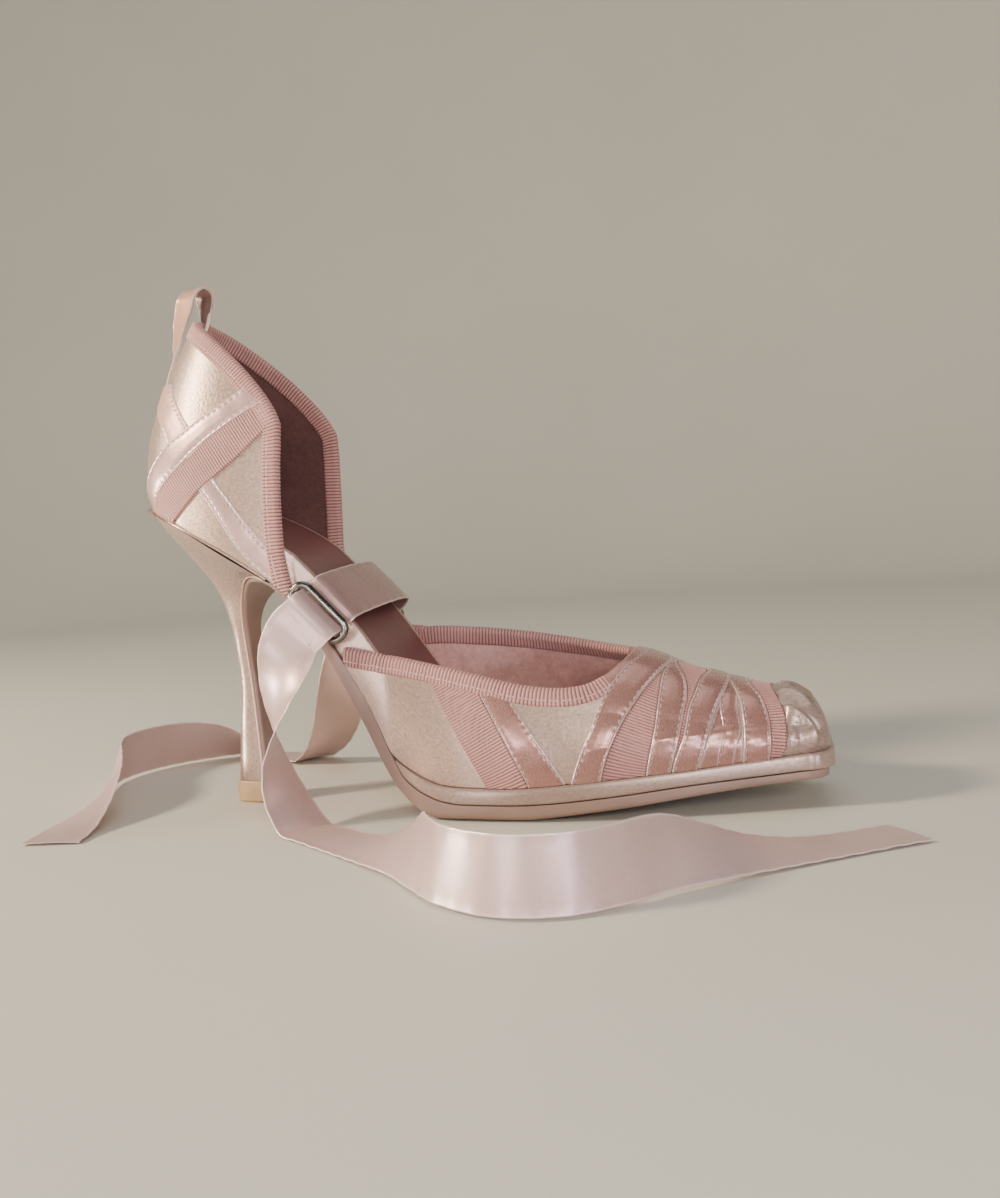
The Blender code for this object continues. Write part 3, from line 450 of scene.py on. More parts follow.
# ---------------------------------------------------------------- outsole
# A moulded sheet sole in nude leatherboard: a ribbed tread under the ball, a thin waist,
# and a flap that runs down the front of the heel.  Cemented to the rand and the heel.
LENGTH = 223.6
TOE_FRONT = 222.0
TOE_CORNER = 9.0
TOE_FLAT = 11.0
TOE_DROP = 13.0
TOE_DROP_Z = 20.7
GAP = 0.3
LastRow = namedtuple("LastRow", "x ground tread feather sock near far ridge")
LAST = [LastRow(*row) for row in (
    (57, 68.0, 71.3, 71.3, 84.0, 25.8, 25.6, 122.0),
    (60, 63.2, 67.5, 67.5, 80.8, 25.5, 25.3, 118.0),
    (65, 54.9, 60.8, 60.8, 75.3, 25.3, 25.0, 111.0),
    (70, 46.3, 54.2, 54.2, 69.4, 25.4, 25.0, 104.5),
    (74, 38.9, 48.2, 48.2, 64.3, 25.6, 25.0, 100.0),
    (80, 26.8, 38.0, 38.0, 56.4, 26.1, 25.4, 94.0),
    (85, 16.8, 27.8, 27.8, 49.2, 26.9, 26.0, 90.0),
    (88, 11.7, 20.8, 21.0, 44.8, 27.5, 26.5, 88.0),
    (92.6, 6.6, 12.6, 16.9, 37.9, 28.7, 27.6, 84.5),
    (99, 2.1, 8.3, 13.4, 29.2, 30.5, 29.6, 80.0),
    (106, 0.0, 5.8, 11.1, 21.6, 32.1, 31.7, 75.5),
    (112, 0.0, 5.1, 10.6, 17.6, 33.1, 33.2, 72.0),
    (125, 0.0, 5.0, 10.4, 14.8, 34.2, 35.3, 65.0),
    (132, 0.0, 5.1, 10.6, 14.5, 34.5, 35.9, 61.6),
    (140, 0.6, 5.5, 11.1, 14.8, 34.4, 36.2, 58.2),
    (155, 2.2, 6.8, 12.3, 15.8, 33.4, 35.4, 51.8),
    (164, 3.2, 7.7, 13.0, 16.5, 32.2, 33.9, 48.2),
    (175, 4.6, 8.9, 13.9, 17.3, 30.2, 31.2, 43.8),
    (184, 5.7, 9.7, 14.6, 18.0, 28.1, 28.7, 40.4),
    (193, 6.6, 10.3, 15.4, 18.8, 25.6, 26.0, 37.5),
    (201, 7.3, 10.8, 16.0, 19.5, 23.4, 23.8, 35.4),
    (210.2, 7.9, 11.4, 16.8, 20.2, 21.1, 21.4, 33.7),
    (214.2, 8.2, 11.7, 17.1, 20.5, 20.0, 20.0, 33.0),
    (224.5, 8.7, 12.2, 17.8, 21.0, 11.0, 11.0, 20.7),
)]
SeatRow = namedtuple("SeatRow", "x feather sock")
SEAT = [SeatRow(*row) for row in (
    (-6, 106.0, 111.6), (3, 102.4, 109.0), (12, 98.8, 106.2), (22, 94.1, 102.6),
    (33, 88.2, 98.0), (43.6, 81.6, 92.8), (51, 76.4, 88.3), (57, 71.3, 84.0),
)]
HeelRow = namedtuple("HeelRow", "face_x face_z flap back_x back_z half square")
HEEL = [HeelRow(*row) for row in (
    (49.8, 74.5, 24.9, -0.4, 107.5, 28.6, 2.8),
    (47.0, 75.9, 24.2, 2.4, 101.6, 26.9, 2.7),
    (43.5, 76.4, 22.2, 5.4, 96.4, 24.2, 2.6),
    (40.0, 75.9, 18.8, 9.4, 90.4, 19.8, 2.5),
    (36.7, 73.4, 14.2, 14.6, 83.2, 14.6, 2.4),
    (33.7, 69.0, 9.0, 20.2, 74.6, 9.2, 2.4),
    (32.2, 62.0, 5.9, 23.8, 63.4, 6.0, 2.6),
    (32.6, 52.0, 4.8, 25.5, 52.2, 4.9, 2.8),
    (33.7, 40.0, 4.7, 26.3, 40.4, 4.8, 2.8),
    (34.8, 27.0, 5.3, 25.1, 27.2, 5.4, 2.8),
    (35.8, 16.0, 6.0, 24.3, 16.0, 6.1, 2.8),
    (37.2, 7.6, 6.9, 23.5, 7.6, 6.9, 2.8),
)]
SOLE_SET_BACK = 1.8
SOLE_TUCK = 0.3
SOLE_ROUND = 1.5
SOLE_TOP_ROUND = 0.25
FLAP_THICK = 1.7
TREAD_DEEP = 0.7
TREAD_FROM, TREAD_TO = 104.0, 206.0
TREAD_MARGIN = 12.0
RIB_PITCH = 3.1
RIB_WIDE = 1.7
RIB_LIFT = 0.05


def curve_of(rows, key, column):
    """One column of a table as a smooth curve along another, without overshoot."""
    xs = np.array([getattr(row, key) for row in rows], float)
    ys = np.array([getattr(row, column) for row in rows], float)
    steps = np.diff(ys) / np.diff(xs)
    level = steps[:-1] * steps[1:] <= 0
    both = np.where(level, 1.0, steps[:-1] + steps[1:])
    inner = np.where(level, 0.0, 2 * steps[:-1] * steps[1:] / both)
    slopes = np.concatenate((steps[:1], inner, steps[-1:]))

    def at(x):
        x = np.clip(x, xs[0], xs[-1])
        i = np.clip(np.searchsorted(xs, x, side="right") - 1, 0, len(xs) - 2)
        run = xs[i + 1] - xs[i]
        t = (x - xs[i]) / run
        line = (2 * t ** 3 - 3 * t ** 2 + 1) * ys[i] + (3 * t ** 2 - 2 * t ** 3) * ys[i + 1]
        bend = (t ** 3 - 2 * t ** 2 + t) * slopes[i] + (t ** 3 - t ** 2) * slopes[i + 1]
        return line + bend * run
    return at


last = {name: curve_of(LAST, "x", name) for name in LastRow._fields[1:]}
seat = {name: curve_of(SEAT, "x", name) for name in SeatRow._fields[1:]}


def feather(x):
    """Height of the edge between upper and sole, along the whole shoe."""
    return np.where(np.asarray(x) >= LAST[0].x, last["feather"](x), seat["feather"](x))


def sock(x):
    """Height of the insole's middle."""
    return np.where(np.asarray(x) >= LAST[0].x, last["sock"](x), seat["sock"](x))


def slope_gap(x):
    """A gap square to the feather line, measured upright."""
    return GAP * np.hypot(1.0, (feather(x + 1) - feather(x - 1)) / 2)


def sole_outline(side, x, length):
    """Half width of outsole and rand: a ledge round the toes, drawn in at the waist."""
    share = np.clip((x - 80) / 18, 0, 1)
    ledge = 1.8 * share - 0.4 * (1 - share)
    corner = length - TOE_CORNER
    turned = np.sqrt(np.clip(1 - (np.maximum(x - corner, 0) / TOE_CORNER) ** 2, 0, 1))
    return (last[side](np.minimum(x, TOE_FRONT - TOE_CORNER)) + ledge
            - np.where(x > corner, TOE_CORNER * (1 - turned), 0))


def sole_stations(start, end, step=1.6):
    """Places along the sole, closer together where the toe turns."""
    bend = end - TOE_CORNER
    straight = np.arange(start, bend, step)
    turn = bend + TOE_CORNER * np.sin(np.radians(np.linspace(0, 90, 22)))
    return np.concatenate((straight, turn))


def slab_rings(low, high, near, far, round_low, round_high):
    """Sections of a slab between two lines of its middle plane, with rounded long edges."""
    up = unit(high - low)
    thick = np.linalg.norm(high - low, axis=1)
    turn = np.radians(np.linspace(0, 90, 7))
    low_round = np.minimum(round_low, thick * 0.6)
    high_round = np.minimum(round_high, thick * 0.3)
    spots = [(-(near - low_round) + (near + far - 2 * low_round) * share, 0 * thick)
             for share in np.linspace(0, 1, 9)]
    spots += [(far - low_round * (1 - math.sin(t)), low_round * (1 - math.cos(t)))
              for t in turn[1:]]
    spots += [(far - high_round * (1 - math.cos(t)), thick - high_round * (1 - math.sin(t)))
              for t in turn]
    spots += [(-(near - high_round) + (near + far - 2 * high_round) * share, thick)
              for share in np.linspace(1, 0, 9)[1:-1]]
    spots += [(-near + high_round * (1 - math.cos(t)), thick - high_round * (1 - math.sin(t)))
              for t in turn[::-1]]
    spots += [(-near + low_round * (1 - math.sin(t)), low_round * (1 - math.cos(t)))
              for t in turn[::-1][:-1]]
    rings = []
    for across, height in spots:
        point = low + up * height[:, None]
        rings.append(xyz(point[:, 0], across, point[:, 2]))
    return np.stack(rings, axis=1)


def heel_line(parts):
    """The heel table run through smoothly, with the way into the heel at each row."""
    rows = smooth_path([tuple(row) for row in HEEL], parts)
    face = xyz(rows[:, 0], 0.0, rows[:, 1])
    waist = np.array((LAST[0].x, 0.0, LAST[0].ground))
    ahead = np.vstack((face[1:], 2 * face[-1] - face[-2]))
    behind = np.vstack((face[0] + (waist - face[0]) / parts, face[:-1]))
    along = unit(ahead - behind)
    into = xyz(along[:, 2], 0.0, -along[:, 0])
    blend = np.clip((np.arange(len(rows)) - (len(rows) - 1 - parts)) / parts, 0, 1)[:, None]
    return rows, face, unit(into * (1 - blend) + np.array((-1.0, 0, 0)) * blend)


front = LENGTH - SOLE_SET_BACK
x = sole_stations(LAST[0].x, front)[::-1]
tread = np.clip((x - 100) / 6, 0, 1) * TREAD_DEEP
low = xyz(x, 0.0, last["ground"](x) + tread)
top = last["tread"](x) - np.where(x < 88, slope_gap(x), 0)
high = xyz(x, 0.0, top)
near = sole_outline("near", x, front) - SOLE_TUCK
far = sole_outline("far", x, front) - SOLE_TUCK
heel_rows, heel_face, heel_into = heel_line(5)
flap = heel_rows[:, 2]
low = np.vstack((low, heel_face))
high = np.vstack((high, heel_face + heel_into * FLAP_THICK))
rings = slab_rings(low, high, np.append(near, flap), np.append(far, flap), SOLE_ROUND,
                   SOLE_TOP_ROUND)

# Moulded leatherboard, waxed: a low even shine and faint mottling, painted darker over its lowest
# 4 mm as shade near the ground.
sole_board, tree, shader, spots, patch, tint = mottled(
    "nude_leatherboard", "#80675d", "#9b8074", 0.012, 4.0, Roughness=0.42, IOR=1.48,
    Coat_Weight=0.12, Coat_Roughness=0.3)
pores = add(tree, "ShaderNodeTexNoise", {"Vector": spots, "Scale": 1 / 0.0006, "Detail": 2.0})
height = add(tree, "ShaderNodeSeparateXYZ", {"Vector": spots}).outputs["Z"]
# The lowest 4 mm of height are mixed toward a darker brown: painted shade near the ground.
ground_shade = add(tree, "ShaderNodeMapRange", {"Value": height, "From Min": 0.0, "From Max": 0.004,
                                        "To Min": 0.55, "To Max": 0.0})
tint = add(tree, "ShaderNodeMix", {"Factor": ground_shade, "A": tint,
                                   "B": linear("#7d6050")}, data_type="RGBA")
grain = add(tree, "ShaderNodeBump", {"Height": pores, "Strength": 0.2, "Distance": 0.0001})
plug(tree, shader, {"Base Color": tint, "Normal": grain})

outsole = show_rings("sheet_outsole", rings, sole_board)
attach(outsole, "root")
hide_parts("outsole")

# The tread's cross ribs stand on the sheet and reach the ground.
rib_x = np.arange(TREAD_FROM, TREAD_TO, RIB_PITCH)
near, far = sole_outline("near", rib_x, front), sole_outline("far", rib_x, front)
slope = np.gradient(last["ground"](rib_x), rib_x)


def loose_points(name, points, **fields):
    """Points in shoe millimetres for a node group to work on, with named numbers."""
    mesh = bpy.data.meshes.new(name)
    mesh.from_pydata(place(points).tolist(), [], [])
    keep_fields(mesh, fields)
    return mesh


def new_group(name, **inputs):
    """A Geometry Nodes group and its input node; inputs gives each further one's kind."""
    group = bpy.data.node_groups.new(name, "GeometryNodeTree")
    group.is_modifier = True
    for label, kind in (("Geometry", "Geometry"), *inputs.items()):
        group.interface.new_socket(label.replace("_", " "), in_out="INPUT",
                                   socket_type="NodeSocket" + kind)
    group.interface.new_socket("Geometry", in_out="OUTPUT", socket_type="NodeSocketGeometry")
    return group, add(group, "NodeGroupInput")


def end_group(group, shape, material):
    """The end of a node group: instances made real, material set, result given out."""
    real = add(group, "GeometryNodeRealizeInstances", {"Geometry": shape})
    painted = add(group, "GeometryNodeSetMaterial", {"Geometry": real, "Material": material})
    add(group, "NodeGroupOutput", {"Geometry": painted})


rib_z = last["ground"](rib_x) + TREAD_DEEP / 2 + RIB_LIFT
ribs = show("tread_ribs", loose_points(
    "tread_rib_stations", xyz(rib_x, 0.5 * (far - near), rib_z),
    rib_length=(near + far - TREAD_MARGIN) * MM, rib_slope=-np.arctan(slope)))
rib_tree, given = new_group("tread_ribs", Rib_Width="Float", Rib_Height="Float", Rubber="Material")
bar_size = add(rib_tree, "ShaderNodeCombineXYZ", {"X": given.outputs["Rib Width"], "Y": 1.0,
                                                  "Z": given.outputs["Rib Height"]})
bar = add(rib_tree, "GeometryNodeMeshCube", {"Size": bar_size,
                                             "Vertices X": 2, "Vertices Y": 2, "Vertices Z": 2})
wide = add(rib_tree, "GeometryNodeInputNamedAttribute", {"Name": "rib_length"}, data_type="FLOAT")
tilt = add(rib_tree, "GeometryNodeInputNamedAttribute", {"Name": "rib_slope"}, data_type="FLOAT")
size = add(rib_tree, "ShaderNodeCombineXYZ", {"X": 1.0, "Y": wide, "Z": 1.0})
turn = add(rib_tree, "ShaderNodeCombineXYZ", {"Y": tilt})
placed = add(rib_tree, "GeometryNodeInstanceOnPoints", {
    "Points": given.outputs["Geometry"], "Instance": bar, "Rotation": turn, "Scale": size})
end_group(rib_tree, placed, given.outputs["Rubber"])


def grow(piece, group, **inputs):
    """Run a node group on a piece and keep the result as its plain mesh."""
    modifier = piece.modifiers.new(group.name, "NODES")
    modifier.node_group = group
    for socket in group.interface.items_tree:
        label = socket.name.replace(" ", "_")
        if socket.in_out == "INPUT" and label in inputs:
            modifier[socket.identifier] = inputs[label]
    piece.data.update()
    graph = bpy.context.evaluated_depsgraph_get()
    plain = bpy.data.meshes.new_from_object(piece.evaluated_get(graph),
                                            preserve_all_data_layers=True, depsgraph=graph)
    plain.name = piece.name
    piece.modifiers.remove(modifier)
    piece.data = plain
    return piece


grow(ribs, rib_tree, Rib_Width=RIB_WIDE * MM, Rib_Height=TREAD_DEEP * MM, Rubber=sole_board)
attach(ribs, "root")

# ---------------------------------------------------------------- platform rand
# A foam strip under the forefoot, wrapped in the same champagne satin as the upper and
# drawn tight round the toe, so it bulges between the sole and the feather line.
RAND_FROM = 90.0
RAND_ROUND = 0.9
TOE_GATHER = 0.10
# Duchess satin, heavy and closely woven: a strong glow with the grain of its yarns in it.
satin_champagne = satin("duchess_satin_champagne", "#b39587", "#dcc2b0", thread=0.30,
                        roughness=0.36, gleam=0.60, sparkle=0.6, glide=0.8)
# The same cloth drawn tight round the foam strip, smoother; its darker tone is painted shade.
rand_satin_painted_shade = satin("rand_satin_champagne", "#9c8478", "#c0a79b", thread=0.30, roughness=0.34,
                   gleam=0.5, sparkle=0.5, glide=0.5)
x = sole_stations(RAND_FROM, LENGTH, 1.0)
low_z = last["tread"](x) + slope_gap(x)
high_z = feather(x) - slope_gap(x)
turn = np.radians(np.linspace(-90, 90, 15))
gather = TOE_GATHER * np.sin(x * 2.1) * np.clip((x - 196) / 10, 0, 1)
half_high = (high_z - low_z) / 2
rings = []
for side, sign in (("near", -1), ("far", 1)):
    wide = sole_outline(side, x, LENGTH)
    for t in (turn if sign < 0 else turn[::-1]):
        bulge = wide - RAND_ROUND * (1 - abs(math.cos(t)) ** 0.7) + gather * math.cos(t)
        rise = (low_z + high_z) / 2 + half_high * np.sin(t)
        rings.append(xyz(x, sign * bulge, rise))
rings = np.stack(rings, axis=1)
girth = np.linspace(-4, 4, 15)
cloth = cloth_map(x[:, None], np.concatenate((girth, girth[::-1])))
rand = show_rings("covered_rand", rings, rand_satin_painted_shade, cloth=cloth)
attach(rand, "root")
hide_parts("platform_rand")

# ---------------------------------------------------------------- insole
# A fibreboard insole, wedge-thick at the waist, with its sides wrapped in champagne satin
# and a rose leatherette sock glued on top, pressed with a double line near its edge.
UPPER_WALL = 1.8
INSOLE_SHORT = 2.2
INSOLE_EASE = 0.3
SIDE_SWELL = 1.2
COUNTER_SQUARE = 2.8
STRETCH_ALONG = 1.2
SOCK_TURN_IN = 15
SEAT_LEVEL = 102.0
SEAT_EASE = 1.6
SEAT_ROUND = 12
TOE_ROUND_AT = 208
CUP_DEEP, CUP_SHALLOW, CUP_FADES_AT = 1.6, 0.4, 100
ARCH_HIGH, ARCH_AT, ARCH_LONG = 2.4, 80, 16
# How far in from the sock's edge its two pressed lines and its dish run, and how deep.
SOCK_PROFILE = (
    (1.2, 0.0), (1.4, 0.35), (2.2, 0.30), (2.8, 0.02), (3.0, 0.30), (3.25, 0.30), (3.45, 0.0),
    (4.3, 0.0), (4.5, 0.30), (4.75, 0.30), (5.0, 0.0), (6.0, 0.0), (8.0, 0.0), (11.0, 0.0),
    (15.0, 0.0), (20.0, 0.0),
)
CounterRow = namedtuple("CounterRow", "z back front near far")
COUNTER = [CounterRow(*row) for row in (
    (64, 4.0, 60.4, 27.0, 26.8), (72, 3.6, 59.2, 27.3, 27.1), (77, 3.4, 57.8, 27.6, 27.4),
    (89, 3.0, 56.5, 28.2, 28.1), (97, 2.7, 56.6, 28.5, 28.5), (103, 2.3, 56.7, 28.4, 28.5),
    (108, 0.6, 56.9, 28.2, 28.3), (113, 0.0, 57.1, 27.9, 28.0), (120, 0.5, 57.4, 27.2, 27.3),
    (128, 2.1, 57.5, 26.0, 26.1), (137, 5.2, 57.5, 24.0, 24.0), (147, 9.6, 57.5, 21.4, 21.4),
    (156, 14.4, 57.5, 19.0, 19.0), (166, 20.9, 57.5, 16.6, 16.6),
    (173, 25.6, 57.5, 15.0, 15.0),
)]
counter = {name: curve_of(COUNTER, "z", name) for name in CounterRow._fields[1:]}


def half_width(side, x, inset):
    """Half width of the upper at the feather line."""
    corner = TOE_FRONT - TOE_CORNER
    radius = TOE_CORNER - inset
    turned = TOE_FLAT + np.sqrt(np.clip(radius ** 2 - (x - corner) ** 2, 0, None))
    return np.where(x <= corner, last[side](x) - inset, turned)


def ridge(x, inset):
    """Height of the upper's middle line."""
    drop = TOE_FRONT - TOE_DROP
    radius = TOE_DROP - inset
    turned = TOE_DROP_Z + np.sqrt(np.clip(radius ** 2 - (x - drop) ** 2, 0, None))
    return np.where(x <= drop, last["ridge"](x) - inset, turned)


def swell(share):
    """How far the upper's sides stand out over the feather line, by share of their height."""
    return SIDE_SWELL * np.sin(math.pi * np.clip(share / 0.5, 0, 1))


def fullness(x):
    """How square the front upper's section is; it grows toward the toe."""
    return 2.3 + 0.4 * np.clip((x - 170) / 40, 0, 1)


def upper_reach(side, x, z, inset):
    """Distance of the front upper's surface from the centre line at a height."""
    share = np.clip((z - feather(x)) / (ridge(x, inset) - feather(x)), 0, 1)
    power = fullness(x)
    return half_width(side, x, inset) * (1 - share ** power) ** (1 / power) + swell(share)


def counter_reach(side, x, z, inset):
    """Distance of the back upper's surface from the centre line."""
    back = counter["back"](z) + inset
    share = np.clip((x - back) / (counter["front"](z) - back), 0, 1)
    full = counter[side](z) - inset
    return full * (1 - (1 - share) ** COUNTER_SQUARE) ** (1 / COUNTER_SQUARE)


insole_back = float(counter["back"](SEAT_LEVEL)) + UPPER_WALL + GAP + SEAT_EASE
insole_front = TOE_FRONT - UPPER_WALL - GAP - INSOLE_SHORT
inset = UPPER_WALL + GAP + INSOLE_EASE
seat_arc = 1 - np.cos(np.radians(np.linspace(0, 90, 14)[:-1]))
toe_arc = np.sin(np.radians(np.linspace(0, 90, 12)))
x = np.concatenate((insole_back + SEAT_ROUND * seat_arc,
                    np.arange(insole_back + SEAT_ROUND, TOE_ROUND_AT, 1.3),
                    TOE_ROUND_AT + (insole_front - TOE_ROUND_AT) * toe_arc))
base = feather(x)
cup = np.where(x < CUP_FADES_AT, CUP_DEEP,
               np.maximum(CUP_SHALLOW, CUP_DEEP - (x - CUP_FADES_AT) / 12))
arch = ARCH_HIGH * np.exp(-((x - ARCH_AT) / ARCH_LONG) ** 2)
halves = {}
for side, sign in (("near", -1), ("far", 1)):
    edge = sock(x) + cup + (arch if side == "far" else 0)
    low_back = counter_reach(side, x, base, inset)
    behind = x < LAST[0].x
    wide_low = np.where(behind, low_back, half_width(side, x, inset))
    wide_top = np.where(behind, np.minimum(low_back, counter_reach(side, x, edge, inset)),
                        upper_reach(side, x, edge, inset))
    lean = np.minimum(1.0, wide_top / 6)
    spots = [(wide_low * 0.5, base + 0.01), (wide_low - 0.1, base), (wide_low, base + 0.3)]
    for share in np.linspace(0.15, 0.85, 5):
        spots.append((wide_low + (wide_top - wide_low) * share + 0.15 * math.sin(math.pi * share),
                      base + (edge - lean - base) * share))
    for t in np.radians(np.linspace(0, 90, 6)):
        spots.append((wide_top - lean * (1 - math.cos(t)), edge - lean * (1 - math.sin(t))))
    for inward, sunk in SOCK_PROFILE:
        inward = inward * np.minimum(1.0, wide_top / 22)
        share = np.clip((wide_top - lean - inward) / (wide_top - lean), 0, 1)
        dish = sock(x) + (edge - sock(x)) * share ** 2.2 - 0.3 * sunk
        spots.append(((wide_top - lean) * share, dish))
    halves[side] = [xyz(x, sign * wide, rise) for wide, rise in spots]
middle_top = xyz(x, 0.0, sock(x))
middle_low = xyz(x, 0.0, base + 0.02)
rings = np.stack([middle_low] + halves["near"] + [middle_top] + halves["far"][::-1], axis=1)
count = rings.shape[1]
place_round = np.arange(count)
on_sock = (place_round >= SOCK_TURN_IN) & (place_round < count - SOCK_TURN_IN)


def girth_of(rings):
    """Millimetres round each ring from its first point."""
    steps = np.linalg.norm(np.diff(rings, axis=1), axis=2)
    return np.concatenate((np.zeros((len(rings), 1)), np.cumsum(steps, axis=1)), axis=1)


cloth = cloth_map(x[:, None] * STRETCH_ALONG, girth_of(rings))

# Rose leatherette: vinyl-coated cloth with an embossed kid grain, softly shining.
rose_leatherette, tree, shader, spots, patch, tint = mottled(
    "rose_leatherette", "#6a403d", "#7e4f4b", 0.02, 3.0, Roughness=0.6, IOR=1.5)
cells = add(tree, "ShaderNodeTexVoronoi", {"Vector": spots, "Scale": 1 / 0.0009},
            feature="DISTANCE_TO_EDGE")
kid = add(tree, "ShaderNodeMapRange", {"Value": cells, "From Max": 0.12})
grain = add(tree, "ShaderNodeBump", {"Height": kid, "Strength": 0.25, "Distance": 0.0001})
patchy = add(tree, "ShaderNodeMapRange", {"Value": patch, "To Min": 0.38, "To Max": 0.54})
plug(tree, shader, {"Normal": grain, "Roughness": patchy})

insole = show_rings("covered_insole", rings, satin_champagne, rose_leatherette, cloth=cloth,
                    pick=on_sock.astype(int))
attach(insole, "root")
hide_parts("insole")

# ---------------------------------------------------------------- front upper
# Two wings that join over the toes: champagne duchess satin on a cotton backer, lasted
# over the insole, lined in rose cloth that creases softly where the throat bends.
WING_TIP = 73.8
EDGE_ROLL = 1.2
EDGE_EASE = 9
TRIAL = 0.05
CREASE_DEEP = 0.35
VAMP_LEVELS = 50
EdgePoint = namedtuple("EdgePoint", "x z")
TOPLINE_NEAR = [EdgePoint(*row) for row in (
    (62.0, 57.0), (73.6, 54.2), (88.0, 51.3), (104.4, 47.8), (119.4, 44.0), (131.0, 41.0),
    (142.2, 39.5), (150.6, 40.0), (155.5, 42.0), (159.0, 44.4), (162.4, 47.2), (165.4, 50.4),
)]
TOPLINE_FAR = [EdgePoint(*row) for row in (
    (62.0, 58.2), (83.0, 56.8), (97.0, 56.2), (111.0, 54.8), (125.0, 52.9), (139.4, 50.4),
    (150.6, 48.3), (157.5, 47.2), (162.4, 47.2), (165.4, 50.4),
)]


def vamp_at(x, turn, inset=0.0):
    """Point of the front upper; turn is 0 at the right feather line, 90 on the ridge."""
    x, turn = np.broadcast_arrays(np.asarray(x, float), np.asarray(turn, float))
    angle = np.radians(np.clip(turn, 0, 180))
    power = fullness(x)
    share = np.abs(np.sin(angle)) ** (2 / power)
    level = np.abs(np.cos(angle))
    wide = np.where(turn <= 90, half_width("near", x, inset), half_width("far", x, inset))
    reach = level ** (2 / power) * wide + swell(share) * np.minimum(1, level * 4)
    rise = feather(x) + (ridge(x, inset) - feather(x)) * share
    return xyz(x, np.where(turn <= 90, -reach, reach), rise)


def slopes_of(surface, a, b):
    """How a surface point moves with each of its two numbers."""
    by_a = (surface(a + TRIAL, b) - surface(a - TRIAL, b)) / (2 * TRIAL)
    by_b = (surface(a, b + TRIAL) - surface(a, b - TRIAL)) / (2 * TRIAL)
    return by_a, by_b


def outward(surface, a, b):
    """Unit way straight out of a surface."""
    return unit(np.cross(*slopes_of(surface, a, b)))


def walk(surface, line, ways, step):
    """Move (a, b) pairs over a surface by a short step along ways in space."""
    by_a, by_b = slopes_of(surface, *line.T)
    aa, ab, bb = (by_a * by_a).sum(1), (by_a * by_b).sum(1), (by_b * by_b).sum(1)
    da, db = (by_a * ways).sum(1), (by_b * ways).sum(1)
    det = aa * bb - ab * ab
    moved = line + step * np.stack((bb * da - ab * db, aa * db - ab * da), axis=1) / det[:, None]
    limits = (1.0, 179.0) if surface is vamp_at else (-89.6, 89.6)
    moved[:, 1] = np.clip(moved[:, 1], *limits)
    return moved


def even(surface, line, count):
    """The line of (a, b) pairs, cut into equal steps over the surface."""
    run = run_lengths(surface(*line.T))
    spots = np.linspace(0, run[-1], count)
    return np.stack([np.interp(spots, run, line[:, k]) for k in (0, 1)], axis=1)


def inward_ways(surface, line, side):
    """Unit ways over the surface, square to an edge line, into the cloth."""
    points = surface(*line.T)
    along = unit(np.gradient(points, axis=0))
    return side * unit(np.cross(outward(surface, *line.T), along))


def edge_turns(edge, xs):
    """Turn of the topline's points on one side, from its side view."""
    points = smooth_path([tuple(p) for p in edge], 16)
    z = np.interp(xs, points[:, 0], points[:, 1])
    share = np.clip((z - feather(xs)) / (ridge(xs, 0.0) - feather(xs)), 0, 1)
    return np.degrees(np.arcsin(np.clip(share ** (fullness(xs) / 2), 0, 1)))


def smoothed(rows, reach):
    """Rows of numbers, each made the soft mean of its neighbours within reach."""
    weights = np.hanning(2 * reach + 1) / np.hanning(2 * reach + 1).sum()
    held = np.vstack((np.repeat(rows[:1], reach, 0), rows, np.repeat(rows[-1:], reach, 0)))
    return np.stack([np.convolve(column, weights, "valid") for column in held.T], axis=1)


xs = np.concatenate((np.arange(WING_TIP, 155, 0.5), np.arange(155, 165.4, 0.1)))
near_turn, far_turn = edge_turns(TOPLINE_NEAR, xs), edge_turns(TOPLINE_FAR, xs)
open_near, open_far = near_turn < 89.6, far_turn < 89.6
topline = np.vstack((np.stack((xs, near_turn), axis=1)[open_near],
                     np.stack((xs, 180 - far_turn), axis=1)[open_far][::-1]))
topline = smoothed(even(vamp_at, topline, 500), EDGE_EASE)
topline = walk(vamp_at, topline, inward_ways(vamp_at, topline, -1), EDGE_ROLL)
front_index = int(np.argmin(np.abs(topline[:, 1] - 90)))
throat_x = float(topline[front_index, 0])


def topline_turn(x, side):
    """Highest turn that the cloth reaches at x on one side."""
    part = topline[:front_index + 1] if side == "near" else topline[front_index:][::-1]
    turn = part[:, 1] if side == "near" else 180 - part[:, 1]
    return np.where(x >= throat_x, 90.0, np.minimum(np.interp(x, part[:, 0], turn), 89.9))


toe_bend = TOE_FRONT - TOE_DROP
x = np.concatenate((np.arange(WING_TIP, 156, 1.1), np.arange(156, throat_x, 0.35), [throat_x],
                    np.arange(throat_x + 0.8, toe_bend, 0.9),
                    toe_bend + TOE_DROP * np.sin(np.radians(np.linspace(0, 90, 26)))))
inner_x = np.where(x <= toe_bend, x,
                   toe_bend + (x - toe_bend) * (TOE_DROP - UPPER_WALL) / TOE_DROP)
rows, levels = len(x), VAMP_LEVELS
share = np.linspace(0, 1, levels) ** 1.1
sheets = []
for side in ("near", "far"):
    turn = topline_turn(x, side)[:, None] * share[None]
    turn = turn if side == "near" else 180 - turn
    outer = vamp_at(x[:, None], turn)
    inner = vamp_at(inner_x[:, None], turn, UPPER_WALL)
    crease = CREASE_DEEP * (
        np.sin(x[:, None] * 0.42 + share * 9) * np.sin(x[:, None] * 0.11 + share * 5)
        + 0.5 * np.sin(x[:, None] * 0.9 - share * 14))
    crease = crease * np.clip(share * 4, 0, 1) * np.clip((1 - share) * 5, 0, 1)
    inner = inner - outward(vamp_at, inner_x[:, None] + 0 * turn, turn) * np.abs(crease)[..., None]
    sheets += [outer, inner]
points = np.concatenate([sheet.reshape(-1, 3) for sheet in sheets])
